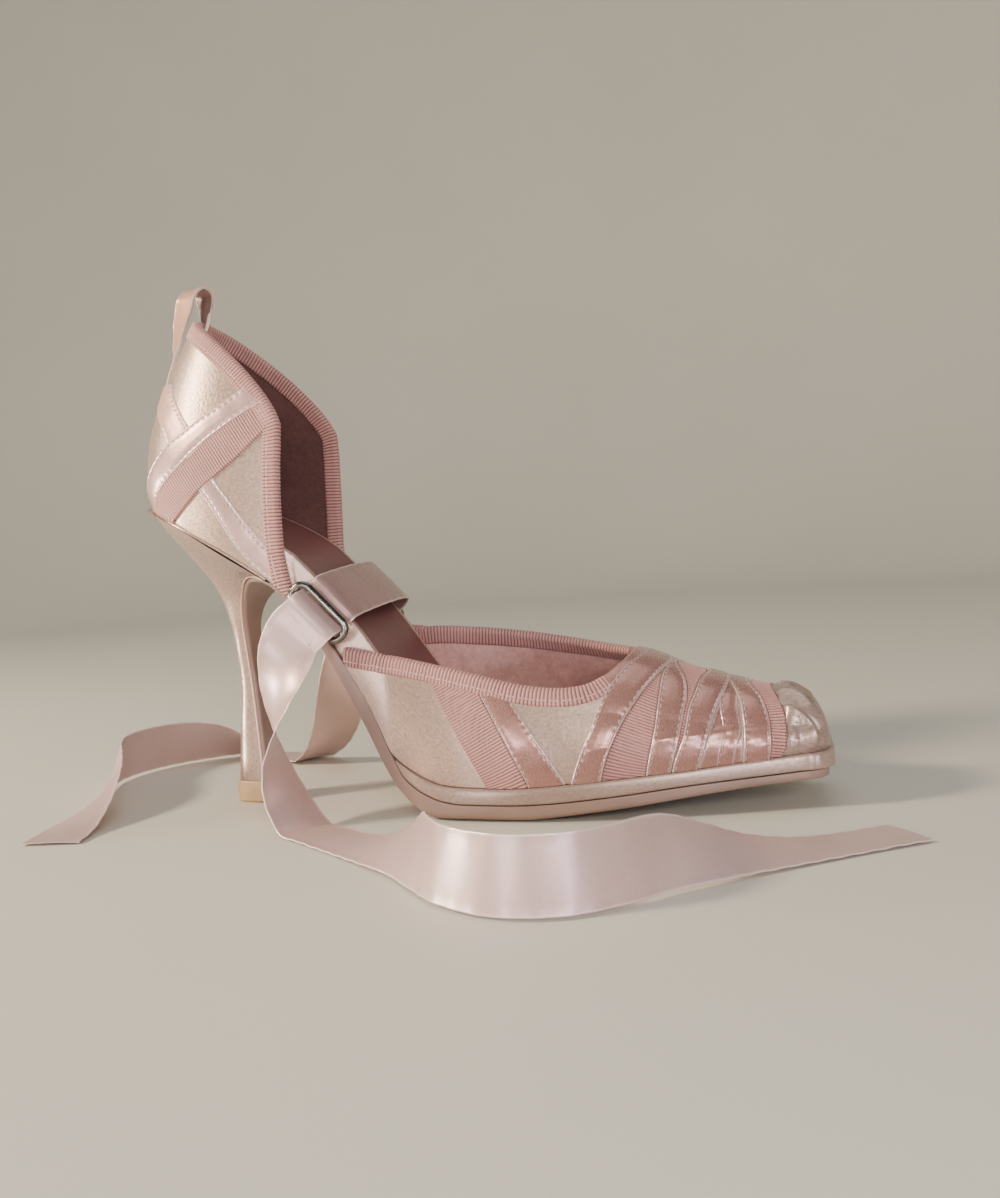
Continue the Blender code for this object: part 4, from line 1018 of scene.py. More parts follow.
cloth = np.concatenate([cloth_map(x[:, None], girth_of(sheet)).reshape(-1, 2) for sheet in sheets])
number = np.arange(rows * levels).reshape(rows, levels)
near_out, near_in, far_out, far_in = (number + k * rows * levels for k in range(4))


def between(first, second):
    """Quads between two equal lines of point numbers."""
    return np.stack((first[:-1], first[1:], second[1:], second[:-1]), axis=-1).tolist()


faces, pick = [], []
for grid, paint in ((near_out, 0), (near_in, 1), (far_out, 0), (far_in, 1)):
    quads = np.stack((grid[:-1, :-1], grid[1:, :-1], grid[1:, 1:], grid[:-1, 1:]), axis=-1)
    faces += quads.reshape(-1, 4).tolist()
    pick += [paint] * ((rows - 1) * (levels - 1))
opened = int(np.searchsorted(x, throat_x)) + 1
for out, inn in ((near_out, near_in), (far_out, far_in)):
    faces += between(out[:opened, -1], inn[:opened, -1])
    faces += between(out[:, 0], inn[:, 0])
    faces += between(out[0], inn[0])
faces += between(near_out[-1], far_out[-1]) + between(near_in[-1], far_in[-1])
faces.append([near_out[-1, 0], near_in[-1, 0], far_in[-1, 0], far_out[-1, 0]])
pick += [0] * (len(faces) - len(pick))


def lining(name, deep, pale):
    """Plain-woven cotton with a faint nap."""
    material, tree, shader = new_surface(name, Roughness=0.72, Sheen_Weight=0.25,
                                         Sheen_Roughness=0.5)
    spots = add(tree, "ShaderNodeTexCoord").outputs["Object"]
    slub = add(tree, "ShaderNodeTexNoise", {"Vector": spots, "Scale": 1 / 0.0012, "Detail": 3.0})
    cloud = add(tree, "ShaderNodeTexNoise", {"Vector": spots, "Scale": 1 / 0.016, "Detail": 3.0})
    mixed = add(tree, "ShaderNodeMath", {0: slub, 1: cloud})
    fade = add(tree, "ShaderNodeMapRange", {"Value": mixed, "From Min": 0.7, "From Max": 1.3})
    tint = add(tree, "ShaderNodeMix", {"Factor": fade, "A": linear(deep),
                                       "B": linear(pale)}, data_type="RGBA")
    weave = add(tree, "ShaderNodeBump", {"Height": slub, "Strength": 0.3, "Distance": 0.0001})
    plug(tree, shader, {"Base Color": tint, "Normal": weave})
    return material


# The front lining's light rose tone is painted light; the heel lining is the same cotton painted
# dark as shade.
rose_lining_painted_light = lining("rose_cotton_lining", "#c98f85", "#e0aea3")
vamp = show("satin_vamp", closed_mesh("satin_vamp", points, faces, cloth, pick),
            satin_champagne, rose_lining_painted_light)
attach(vamp, "root")
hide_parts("vamp")

# ---------------------------------------------------------------- back upper
# The same satin round the heel, open in front and high at the back, with a flat edge at the
# seat.  Its lining is the rose cotton, glued in over the stiffener, in a deep tone that is painted
# shade.
COLLAR = [EdgePoint(*row) for row in (
    (63.0, 112.0), (57.6, 119.5), (56.9, 125.6), (54.8, 130.9), (50.8, 136.9), (44.0, 144.8),
    (36.8, 151.8), (30.0, 157.7), (21.0, 164.8), (8.0, 174.0),
)]
HEM_LOW = 70.6
COLLAR_LOW = 118.0
COLLAR_TOP = 172.0
COUNTER_LEVELS = 72
WRINKLE_DEEP = 0.3
GIRTH_LEVEL = 110.0


def counter_at(z, turn, inset=0.0):
    """Point of the back upper; turn is 0 at the back, -90 at the right front edge."""
    z, turn = np.broadcast_arrays(np.asarray(z, float), np.asarray(turn, float))
    angle = np.radians(np.clip(turn, -90, 90))
    back, fore = counter["back"](z) + inset, counter["front"](z)
    across = np.abs(np.sin(angle)) ** (2 / COUNTER_SQUARE)
    deep = 1 - np.cos(angle) ** (2 / COUNTER_SQUARE)
    full = np.where(turn < 0, counter["near"](z), counter["far"](z)) - inset
    return xyz(back + (fore - back) * deep, full * across * np.sign(angle), z)


collar_points = smooth_path([tuple(p) for p in COLLAR], 16)[::-1]
z = np.arange(HEM_LOW, COLLAR_TOP, 0.25)
collar_x = np.interp(z, collar_points[::-1, 1], collar_points[::-1, 0])
back, fore = counter["back"](z), counter["front"](z)
deep = np.clip((np.minimum(collar_x, fore - 0.02) - back) / (fore - back), 0, 1)
collar_turn = np.degrees(np.arccos(np.clip((1 - deep) ** (COUNTER_SQUARE / 2), 0, 1)))
still = deep > 0
collar = np.vstack((np.stack((z, -collar_turn), axis=1)[still],
                    np.stack((z, collar_turn), axis=1)[still][::-1]))
collar = smoothed(even(counter_at, collar, 620), EDGE_EASE)
collar = walk(counter_at, collar, inward_ways(counter_at, collar, 1), EDGE_ROLL)
collar[:, 1] = np.clip(collar[:, 1], -89.5, 89.5)
collar_middle = len(collar) // 2
collar_side = collar[:collar_middle]

fine_turn = np.linspace(0, float(-collar_side[:, 1].min()), 400)
arc = run_lengths(counter_at(GIRTH_LEVEL, fine_turn))
half_turns = np.interp(np.linspace(0, arc[-1], 62), arc, fine_turn)
turns = np.concatenate((-half_turns[::-1], half_turns[1:]))


def seat_height(turn):
    """Height where the back upper meets the seat, at each turn."""
    heights = np.linspace(60, 112, 300)
    out = []
    for t in np.atleast_1d(turn):
        above = heights - feather(counter_at(heights, t)[:, 0])
        out.append(np.interp(0.0, above, heights))
    return np.array(out)


top_part = collar_side[collar_side[:, 0] > COLLAR_LOW]
top_order = np.argsort(-top_part[:, 1])


def collar_height(turn):
    """Height of the collar at each turn of the back upper."""
    return np.interp(np.abs(turn), -top_part[top_order, 1], top_part[top_order, 0])


top_z = collar_height(turns)
low_z = seat_height(turns)
share = np.linspace(0, 1, COUNTER_LEVELS)
heights = low_z[:, None] + (top_z - low_z)[:, None] * share[None]
outer = counter_at(heights, turns[:, None])
inner = counter_at(heights, turns[:, None], UPPER_WALL)
wrinkle = WRINKLE_DEEP * np.sin(heights * 0.31 + turns[:, None] * 0.05) * np.sin(heights * 0.13)
way_out = outward(counter_at, heights, turns[:, None] + 0 * heights)
inner = inner - way_out * np.abs(wrinkle)[..., None]
rings = np.concatenate((outer, inner[:, ::-1]), axis=1)
climb = np.concatenate((heights, heights[:, ::-1]), axis=1)
cloth = cloth_map(run_lengths(counter_at(GIRTH_LEVEL, turns))[:, None], climb)
# The heel lining's deep rose tone is painted shade.
heel_lining_painted_shade = lining("deep_rose_heel_lining", "#4e2d28", "#643c36")
quarter = show_rings("satin_quarter", rings, satin_champagne, heel_lining_painted_shade, cloth=cloth,
                     pick=np.repeat((0, 1), COUNTER_LEVELS))
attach(quarter, "root")
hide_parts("quarter")

# ---------------------------------------------------------------- ribbons over the upper
# Dusty pink satin and grosgrain ribbons, laid crosswise over the satin and sewn down near
# both selvedges, tucked under the bindings above and under the lasted edge below.
CORD_PITCH = 0.95
STITCH_PITCH = 2.3
STITCH_INSET = 1.05
BAND_RISE = 0.34
BAND_STEP = 0.45
BAND_TUCK = 0.12
EDGE_SOFT = 0.28
SELVEDGE_HIGH, RIB_SELVEDGE_HIGH = 0.10, 0.12
SEAM_DEEP, PUCKER_HIGH = 0.16, 0.06
CROWN_HIGH, SAG_DEEP = 0.22, 0.06
FOLD_HIGH, FOLD_ABOVE = 0.30, 9.6
THREAD_OVER = 0.02
RUN_ON = 0.3
CORD_HEIGHT = 0.27
BAND_EASE = 15
LEAST_WIDTH = 0.3
LOOP_HIDES_ABOVE = 143.6
SEAT_CLEAR = 0.25
PALE_ON_TOE, PALE_ON_STAY = 0.15, 1.0

# Polyester satin ribbons: the dusty one glossiest, the peach one nearly matt.
ribbon_dusty = satin("ribbon_satin_dusty_pink", "#986a60", "#bb8f85", thread=0.2, roughness=0.25,
                     gleam=0.45, sparkle=0.14)
ribbon_peach = satin("strip_satin_peach", "#c99a88", "#dcb6a4", thread=0.2, roughness=0.36,
                     gleam=0.25, sparkle=0.14)

# Grosgrain: thick weft cords wrapped in fine warp, matt, with painted shade in the grooves
# between and painted light on the cords.  Real cords are about 0.8 mm apart and are drawn a
# little coarser so that they show.
grosgrain, tree, shader = new_surface("grosgrain_dusty_rose", Roughness=0.62,
                                      Sheen_Weight=0.35, Sheen_Roughness=0.4,
                                      Sheen_Tint=linear("#f0d8d4"))
spots = add(tree, "ShaderNodeUVMap", uv_map="cloth")
cord = add(tree, "ShaderNodeAttribute", attribute_name="cord")
fibre = add(tree, "ShaderNodeTexNoise", {"Vector": spots, "Scale": 1 / 0.0006, "Detail": 2.0})
stain = add(tree, "ShaderNodeTexNoise", {"Vector": spots, "Scale": 1 / 0.012, "Detail": 2.0})
# Cord tops mix toward the pale tone and grooves toward the dark one: painted light and shade.
mixed = add(tree, "ShaderNodeMath", {0: fibre, 1: 0.35, 2: cord.outputs["Fac"]},
            operation="MULTIPLY_ADD")
mixed = add(tree, "ShaderNodeMath", {0: stain, 1: 0.4, 2: mixed}, operation="MULTIPLY_ADD")
fade = add(tree, "ShaderNodeMapRange", {"Value": mixed, "From Min": 0.5, "From Max": 1.2})
tint = add(tree, "ShaderNodeMix", {"Factor": fade, "A": linear("#643834"),
                                   "B": linear("#bf8d84")}, data_type="RGBA")
nap = add(tree, "ShaderNodeBump", {"Height": fibre, "Strength": 0.3, "Distance": 0.00008})
plug(tree, shader, {"Base Color": tint, "Normal": nap})

# The cords of grosgrain, raised over the whole cloth by its run length; each point also
# keeps its height on its cord, which the material paints as light on crests and shade in grooves.
cord_tree, given = new_group("grosgrain_cords", Pitch="Float", Cord_Height="Float",
                             Cloth="Material")
run_at = add(cord_tree, "GeometryNodeInputNamedAttribute", {"Name": "run"}, data_type="FLOAT")
lift_at = add(cord_tree, "GeometryNodeInputNamedAttribute", {"Name": "lift_way"},
              data_type="FLOAT_VECTOR")
turns_of = add(cord_tree, "ShaderNodeMath", {0: run_at,
                                             1: given.outputs["Pitch"]}, operation="DIVIDE")
angle = add(cord_tree, "ShaderNodeMath", {0: turns_of, 1: math.pi}, operation="MULTIPLY")
wave = add(cord_tree, "ShaderNodeMath", {0: angle}, operation="SINE")
round_top = add(cord_tree, "ShaderNodeMath", {0: wave}, operation="ABSOLUTE")
tall = add(cord_tree, "ShaderNodeMath", {0: round_top, 1: given.outputs["Cord Height"]},
           operation="MULTIPLY")
move = add(cord_tree, "ShaderNodeVectorMath", {0: lift_at, "Scale": tall}, operation="SCALE")
raised = add(cord_tree, "GeometryNodeSetPosition", {"Geometry": given.outputs["Geometry"],
                                                    "Offset": move})
marked = add(cord_tree, "GeometryNodeStoreNamedAttribute", {"Geometry": raised, "Name": "cord",
                                                            "Value": round_top})
end_group(cord_tree, marked, given.outputs["Cloth"])


def corded(name, rings, run, lift, pitch=CORD_PITCH):
    """A grosgrain piece: its rings, run length at each point, and raised cords."""
    piece = show_rings(name, rings, cloth=cloth_map(run, girth_of(rings)), sharp=80,
                       fields={"run": run.ravel() * MM, "lift_way": lift.reshape(-1, 3)})
    return grow(piece, cord_tree, Pitch=pitch * MM, Cord_Height=CORD_HEIGHT * MM, Cloth=grosgrain)


stitch_spots, stitch_ways, stitch_ups, stitch_pale = [], [], [], []


def sew(points, ups, pale, gap=STITCH_PITCH):
    """Keep the places of a row of stitches along a line of points."""
    run = run_lengths(points)
    spots = np.arange(gap / 2, run[-1], gap)
    along = unit(np.gradient(points, axis=0))
    for rows, store in ((points, stitch_spots), (along, stitch_ways), (ups, stitch_ups)):
        store.append(np.stack([np.interp(spots, run, rows[:, k]) for k in range(3)], axis=1))
    stitch_pale.append(np.full(len(spots), pale))


def cut_line(points, inside):
    """Smooth line on a surface through (a, b) pairs, run on at both ends, then trimmed."""
    points = np.array(points, float)
    before = points[0] + (points[0] - points[1]) * RUN_ON
    after = points[-1] + (points[-1] - points[-2]) * RUN_ON
    line = smooth_path(np.vstack((before, points, after)), 24)
    value = inside(*line.T)
    good = np.flatnonzero(value >= 0)
    first, final = good[0], good[-1]
    pieces = [line[first:final + 1]]
    if first > 0:
        t = value[first] / (value[first] - value[first - 1])
        pieces.insert(0, (line[first] + (line[first - 1] - line[first]) * t)[None])
    if final < len(line) - 1:
        t = value[final] / (value[final] - value[final + 1])
        pieces.append((line[final] + (line[final + 1] - line[final]) * t)[None])
    return np.vstack(pieces)


def bump_line(distance, middle, wide):
    """A soft ridge, one high, along a line at some distance."""
    return np.exp(-((distance - middle) / wide) ** 2)


def satin_rise(surface, base, run, share, wide, level, stitched):
    """Height of a satin ribbon's face: proud selvedges, puckered seams, a crown and a sag."""
    from_edge = np.minimum(share, 1 - share)[None] * wide
    rise = level * BAND_RISE * np.clip(from_edge / EDGE_SOFT, 0, 1) ** 0.5
    for side, sewn in enumerate(stitched):
        edge = (share if side == 0 else 1 - share)[None] * wide
        rise = rise + SELVEDGE_HIGH * bump_line(edge, 0.45, 0.3)
        if sewn:
            rise = rise - SEAM_DEEP * bump_line(edge, STITCH_INSET, 0.24)
            pull = np.sin(2 * math.pi * run / STITCH_PITCH)
            rise = rise + PUCKER_HIGH * pull * bump_line(edge, STITCH_INSET, 0.8)
    rise = rise + CROWN_HIGH * np.clip(from_edge / 3.0, 0, 1) ** 1.5
    sag = np.sin(run * 0.55 + level * 2.0) * np.sin(run * 0.21 + 1.0 + level)
    rise = rise + SAG_DEEP * sag * np.clip(from_edge / 2.0, 0, 1)
    if surface is vamp_at:
        above = base[..., 2] - feather(base[..., 0]) - FOLD_ABOVE
        fold = FOLD_HIGH * np.exp(-(above / 1.1) ** 2) * np.clip((base[..., 0] - 140) / 20, 0, 1)
        rise = rise + fold * np.clip(from_edge / 1.2, 0, 1)
    return rise


def lay_band(name, surface, left, right, inside, level, cloth, stitched=(True, True),
             columns=26, pale=PALE_ON_TOE, lowest=None):
    """Sew a ribbon on a surface between two edge lines, at a height of level ribbons.

    inside says how far a point is from the edges that cut the ribbon off, and lowest the
    height it stops at; stitched tells which of its edges are sewn, and pale the thread.
    """
    left, right = cut_line(left, inside), cut_line(right, inside)
    length = max(run_lengths(surface(*left.T))[-1], run_lengths(surface(*right.T))[-1])
    fine = CORD_PITCH / 4 if cloth == "grosgrain" else BAND_STEP
    count = int(length / fine) + 2
    left, right = even(surface, left, count), even(surface, right, count)
    ahead = np.sign(np.mean(right[:, 0] - left[:, 0]))
    right[:, 0] = left[:, 0] + ahead * np.maximum(ahead * (right[:, 0] - left[:, 0]), LEAST_WIDTH)
    share = (1 - np.cos(np.linspace(0, math.pi, columns))) / 2
    share = 0.72 * share + 0.28 * np.linspace(0, 1, columns)
    pairs = left[:, None] * (1 - share[None, :, None]) + right[:, None] * share[None, :, None]
    if lowest:
        pairs[..., 0] = np.maximum(pairs[..., 0], lowest(pairs[..., 1]))
    base = surface(pairs[..., 0], pairs[..., 1])
    normal = outward(surface, pairs[..., 0], pairs[..., 1])
    middle = base[:, columns // 2]
    along = unit(smoothed(unit(np.gradient(middle, axis=0)), BAND_EASE))
    run = run_lengths(middle)[:, None] + ((base - middle[:, None]) * along[:, None]).sum(-1)
    wide = np.linalg.norm(base[:, -1] - base[:, 0], axis=1)[:, None]
    from_edge = np.minimum(share, 1 - share)[None] * wide
    if cloth == "grosgrain":
        rise = (level * BAND_RISE * np.clip(from_edge / EDGE_SOFT, 0, 1) ** 0.5
                + RIB_SELVEDGE_HIGH * bump_line(from_edge, 0.5, 0.35))
    else:
        rise = satin_rise(surface, base, run, share, wide, level, stitched)
    top = base + normal * rise[..., None]
    under = base - normal * BAND_TUCK
    rings = np.concatenate((top, under[:, ::-1]), axis=1)
    runs = np.concatenate((run, run[:, ::-1]), axis=1)
    if cloth == "grosgrain":
        lift = normal * np.clip((from_edge - 0.05) / 0.5, 0.25, 1)[..., None]
        lift = np.concatenate((lift, 0 * lift), axis=1)
        piece = corded(name, rings, runs, lift)
    else:
        across = np.concatenate((share[None] * wide, share[::-1][None] * wide), axis=1)
        # Points near the band's edges are marked for a painted highlight.
        edge = 0.75 * np.exp(-(np.concatenate((from_edge, 9 + 0 * from_edge), axis=1) / 0.55) ** 2)
        piece = show_rings(name, rings, cloth, cloth=cloth_map(runs, across), sharp=60,
                           fields={"painted_edge_highlight": edge.ravel()})
    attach(piece, "root")
    for side, sewn in enumerate(stitched):
        if not sewn:
            continue
        inward = np.clip(STITCH_INSET / np.maximum(wide, 2.5), 0, 0.45)
        inward = inward if side == 0 else 1 - inward
        line = left * (1 - inward) + right * inward
        up = outward(surface, *line.T)
        sew(surface(*line.T) + up * (level * BAND_RISE + THREAD_OVER), up, pale)
    return piece


def other_side(points):
    """An edge of the front upper's right side, on its left side."""
    return [(px, 180 - turn) for px, turn in points]


def over_toes(points):
    """An edge given on the right side, carried over the ridge and down the left side."""
    points = [p for p in points if p[1] < 88]
    return points[::-1] + other_side(points)


def on_vamp(px, turn):
    """How far inside the front upper's topline and feather line a point lies."""
    high = np.where(turn <= 90, topline_turn(px, "near"), 180 - topline_turn(px, "far"))
    return np.where(turn <= 90, np.minimum(turn, np.where(px < throat_x, high - turn, 90)),
                    np.minimum(180 - turn, np.where(px < throat_x, turn - high, 90)))


# Edges of the ribbons, from the topline or the ridge down to the feather line.
G1_BACK = [(91.5, 40.5), (102.5, 25.4), (111.3, 12.5), (118.8, 1.5)]
G1_FRONT = [(107.0, 43.0), (117.4, 28.1), (125.8, 14.0), (133.0, 0.2)]
S1_FRONT = [(117.0, 44.0), (127.5, 28.4), (136.3, 14.2), (144.0, 1.0)]
S2_BACK = [(166.2, 80.0), (162.2, 57.8), (156.1, 34.5), (152.8, 19.6), (149.2, 8.5), (146.4, 0.5)]
S2_FRONT = [(175.2, 80.0), (171.6, 57.5), (166.3, 36.8), (160.8, 18.8), (157.3, 7.5), (155.4, 0.3)]
S3_BACK = [(175.0, 84.0), (173.4, 63.0), (172.5, 41.6), (171.6, 25.3), (170.9, 17.7), (169.5, 7.4),
           (168.3, 0.3)]
S3_FRONT = [(177.2, 84.0), (180.3, 62.0), (180.9, 45.6), (179.9, 31.1), (178.9, 19.4),
            (177.6, 9.7), (175.7, 0.2)]
S4_BACK = [(186.0, 84.0), (184.6, 70.0), (183.0, 50.3), (181.3, 36.8), (179.6, 17.4), (176.7, 4.1)]
S4_FRONT = [(193.4, 84.0), (192.3, 62.3), (189.9, 41.4), (188.1, 26.9), (186.5, 14.7),
            (184.8, 4.5), (183.5, 0.1)]
S5_BACK = [(190.4, 82.0), (190.6, 62.0), (190.2, 41.5), (190.9, 21.5), (189.8, 10.7), (188.6, 0.5)]
S5_FRONT = [(px + 5.5, turn) for px, turn in S5_BACK]
S6_BACK = [(191.6, 84.0), (193.4, 73.6), (196.0, 50.2), (196.9, 27.4), (197.0, 12.9), (196.3, 0.1)]
S6_FRONT = [(199.4, 84.0), (202.6, 59.6), (204.4, 37.3), (205.0, 20.2), (204.9, 5.7), (204.4, 0.5)]
G3_FRONT = [(206.0, 84.0), (206.9, 69.8), (209.0, 40.9), (209.6, 19.5), (209.1, 4.3), (208.1, 0.4)]

for side, on in (("near", list), ("far", other_side)):
    lay_band("grosgrain_waist_" + side, vamp_at, on(G1_BACK), on(G1_FRONT), on_vamp, 1.0,
             "grosgrain", (False, False), columns=60)
    lay_band("satin_waist_" + side, vamp_at, on(G1_FRONT), on(S1_FRONT), on_vamp, 1.3,
             ribbon_dusty)
for name, back_edge, front_edge, level, cloth, stitched in (
    ("grosgrain_throat", S2_FRONT, S3_BACK, 0.9, "grosgrain", (False, False)),
    ("grosgrain_gusset", S3_FRONT, S4_BACK, 0.8, "grosgrain", (False, False)),
    ("satin_under", S4_FRONT, S6_BACK, 0.9, ribbon_dusty, (False, False)),
    ("satin_mid", S5_BACK, S5_FRONT, 1.5, ribbon_dusty, (True, False)),
    ("grosgrain_toe", S6_FRONT, G3_FRONT, 0.9, "grosgrain", (False, False)),
    ("satin_third", S3_BACK, S3_FRONT, 1.9, ribbon_dusty, (True, True)),
    ("satin_toe", S6_BACK, S6_FRONT, 2.2, ribbon_dusty, (True, True)),
    ("satin_fourth", S4_BACK, S4_FRONT, 2.5, ribbon_dusty, (True, True)),
    ("satin_throat", S2_BACK, S2_FRONT, 2.6, ribbon_dusty, (True, True)),
):
    lay_band(name, vamp_at, over_toes(back_edge), over_toes(front_edge), on_vamp, level,
             cloth, stitched)


def on_counter(z, turn):
    """How far inside the back upper's seat, collar and front edges a point lies."""
    return np.minimum.reduce((z - feather(counter_at(z, turn)[..., 0]) + 0.3,
                              collar_height(turn) - z, 89.3 - np.abs(turn)))


Q1_UPPER = [(138.0, -79.9), (133.8, -73.4), (130.1, -65.6), (126.4, -58.1), (122.7, -48.4),
            (112.7, -29.2), (105.4, -17.0), (100.0, -8.0)]
Q2_UPPER = [(134.0, -88.6), (131.9, -84.7), (127.9, -78.5), (123.5, -71.3), (119.0, -64.1),
            (114.1, -55.8), (105.9, -38.1), (100.0, -27.0), (95.0, -18.0)]
Q2_LOWER = [(127.0, -89.2), (123.8, -87.6), (119.6, -84.3), (115.8, -80.6), (111.6, -75.0),
            (107.7, -68.2), (98.9, -52.8), (92.0, -41.0)]
Q3_BACK = [(108.5, -66.0), (106.4, -67.5), (96.9, -73.9), (87.5, -79.7), (77.7, -86.6),
           (74.5, -89.0)]
Q3_FRONT = [(113.0, -71.9), (110.6, -73.7), (102.6, -78.8), (94.3, -84.0), (86.1, -88.5),
            (84.0, -89.2)]
STRIP_BACK = [(146.0, -0.5), (143.0, -7.0), (138.0, -20.0), (133.0, -32.5), (128.1, -43.3),
              (124.1, -48.2), (118.0, -56.0)]
STRIP_FRONT = [(146.0, -31.0), (142.8, -37.7), (135.8, -50.5), (132.0, -56.2), (129.0, -60.2),
               (123.0, -68.0)]
seat_turns = np.linspace(-89.6, 89.6, 240)
seat_line = seat_height(seat_turns)


def below_loop(z, turn):
    """The same as on_counter, and under the pull loop's sewn end."""
    return np.minimum(on_counter(z, turn), LOOP_HIDES_ABOVE - z)


def over_seat(turn):
    """Lowest height that a ribbon of the back upper may reach."""
    return np.interp(turn, seat_turns, seat_line) + SEAT_CLEAR


# On the back upper a satin stay and a peach strip run down each side from under the bands
# that cross over them.
ribbon_blush = satin("ribbon_satin_blush", "#b48f86", "#d6b3aa", thread=0.2, roughness=0.3,
                     gleam=0.4, sparkle=0.14)
for side, sign in (("near", 1), ("far", -1)):
    def on(points):
        """An edge given on the right side, on this side."""
        return [(height, sign * turn) for height, turn in points]

    lay_band("satin_stay_" + side, counter_at, on(Q3_BACK), on(Q3_FRONT), on_counter, 1.0,
             ribbon_blush, pale=PALE_ON_STAY, lowest=over_seat)
    lay_band("satin_back_" + side, counter_at, on(STRIP_BACK), on(STRIP_FRONT), below_loop, 1.0,
             ribbon_peach)
    lay_band("grosgrain_counter_" + side, counter_at, on(Q2_UPPER), on(Q2_LOWER), on_counter, 1.6,
             "grosgrain", (False, False), columns=40, lowest=over_seat)
    lay_band("satin_counter_" + side, counter_at, on(Q1_UPPER), on(Q2_UPPER), on_counter, 2.1,
             ribbon_blush, lowest=over_seat)

# ---------------------------------------------------------------- toe cap
# The front of the toe is one more layer of champagne satin, gathered over the box in
# three soft hand-laid pleats on each side that meet on top.
Pleat = namedtuple("Pleat", "tall wide crest")
PLEATS = (
    Pleat(1.9, 1.0, ((206.5, 52.0), (208.7, 47.6), (212.5, 40.9), (216.0, 28.8), (217.9, 13.0),
                     (217.9, 1.9))),
    Pleat(1.7, 1.1, ((206.6, 76.0), (211.0, 74.0), (214.5, 68.0), (217.6, 52.0), (220.0, 34.0),
                     (221.6, 14.0))),
    Pleat(1.2, 1.0, ((209.0, 90.0), (213.0, 86.0), (216.8, 78.0), (219.4, 64.0))),
)
CAP_LIFT = 0.45
CAP_LEAST = 0.05
CAP_TUCK = 0.15
GROOVE_DEEP, GROOVE_OUT, GROOVE_WIDE = 0.42, 1.25, 0.55
cap_back = cut_line(over_toes(G3_FRONT), on_vamp)
cap_share = np.concatenate((np.linspace(0, 0.12, 6)[:-1], np.linspace(0.12, 1, 54)))
cap_back = even(vamp_at, cap_back, 240)
back_x, cap_turn = cap_back.T
reach = 1 - (1 - cap_share) ** 2
cap_x = back_x[:, None] + (TOE_FRONT - 0.05 - back_x[:, None]) * reach[None]
turn = np.broadcast_to(cap_turn[:, None], cap_x.shape)
base = vamp_at(cap_x, turn)
normal = outward(vamp_at, cap_x, turn)
rise = np.full(cap_x.shape, CAP_LIFT)
for pleat in PLEATS:
    for sign, on in ((1, list), (-1, other_side)):
        line = smooth_path(on(pleat.crest), 14)
        crest = vamp_at(*line.T)
        gaps = np.linalg.norm(base[:, :, None, :] - crest[None, None], axis=-1)
        nearest = gaps.argmin(axis=-1)
        gap = gaps.min(axis=-1)
        run = run_lengths(crest)
        from_ends = np.minimum(run[nearest] / 3.0, (run[-1] - run[nearest]) / 5.0)
        fade = np.sin(math.pi / 2 * np.clip(from_ends, 0, 1)) ** 2
        runs_on = np.gradient(line, axis=0)[nearest]
        beyond = sign * (runs_on[..., 0] * (turn - line[nearest, 1])
                         - runs_on[..., 1] * (cap_x - line[nearest, 0])) > 0
        soft = np.where(beyond, np.exp(-(gap / (0.45 * pleat.wide)) ** 2),
                        np.exp(-(gap / (2.1 * pleat.wide)) ** 1.6))
        rise = rise + pleat.tall * fade * soft
        groove = np.exp(-((gap - GROOVE_OUT) / GROOVE_WIDE) ** 2) * beyond
        rise = rise - GROOVE_DEEP * fade * groove
rise = np.maximum(rise, CAP_LEAST)
rise[:, 0] = 0.0
top = base + normal * rise[..., None]
for _ in range(4):
    top[:, 1:-1] = (top[:, :-2] + 2 * top[:, 1:-1] + top[:, 2:]) / 4
rings = np.concatenate((top, (base - normal * CAP_TUCK)[:, ::-1]), axis=1)
cloth = cloth_map(np.concatenate((cap_x, cap_x[:, ::-1]), axis=1),
                  run_lengths(vamp_at(back_x, cap_turn))[:, None])
# The champagne satin once more, pulled over the box: smoother, with sharper lights, and in a
# darker tone that is painted shade.
toe_satin_painted_shade = satin("toe_satin_champagne", "#937c70", "#bda598", thread=0.30, roughness=0.30,
                  gleam=0.52, sparkle=0.45, glide=0.5)
cap = show_rings("satin_toe_cap", rings, toe_satin_painted_shade, cloth=cloth, sharp=70)
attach(cap, "root")

# ---------------------------------------------------------------- bindings
# Grosgrain ribbon folded over both top edges and stitched through, its cords running
# over the edge; across the throat it gives way to a plain turned satin edge.
BINDING_OUTSIDE = 4.4
COLLAR_OUTSIDE = 3.9
BINDING_INSIDE = 4.2
BINDING_RISE = 0.62
BINDING_PITCH = 1.15
BINDING_STEP = 0.23
BINDING_STITCH = 1.9
PALE_ON_BINDING = 0.35
HEM_FLATTER = 0.75
SEAM_DROP = 0.20
OUTER_STEPS, INNER_STEPS = 9, 8
NEAR_STOPS, FAR_STARTS = 157.0, 160.5


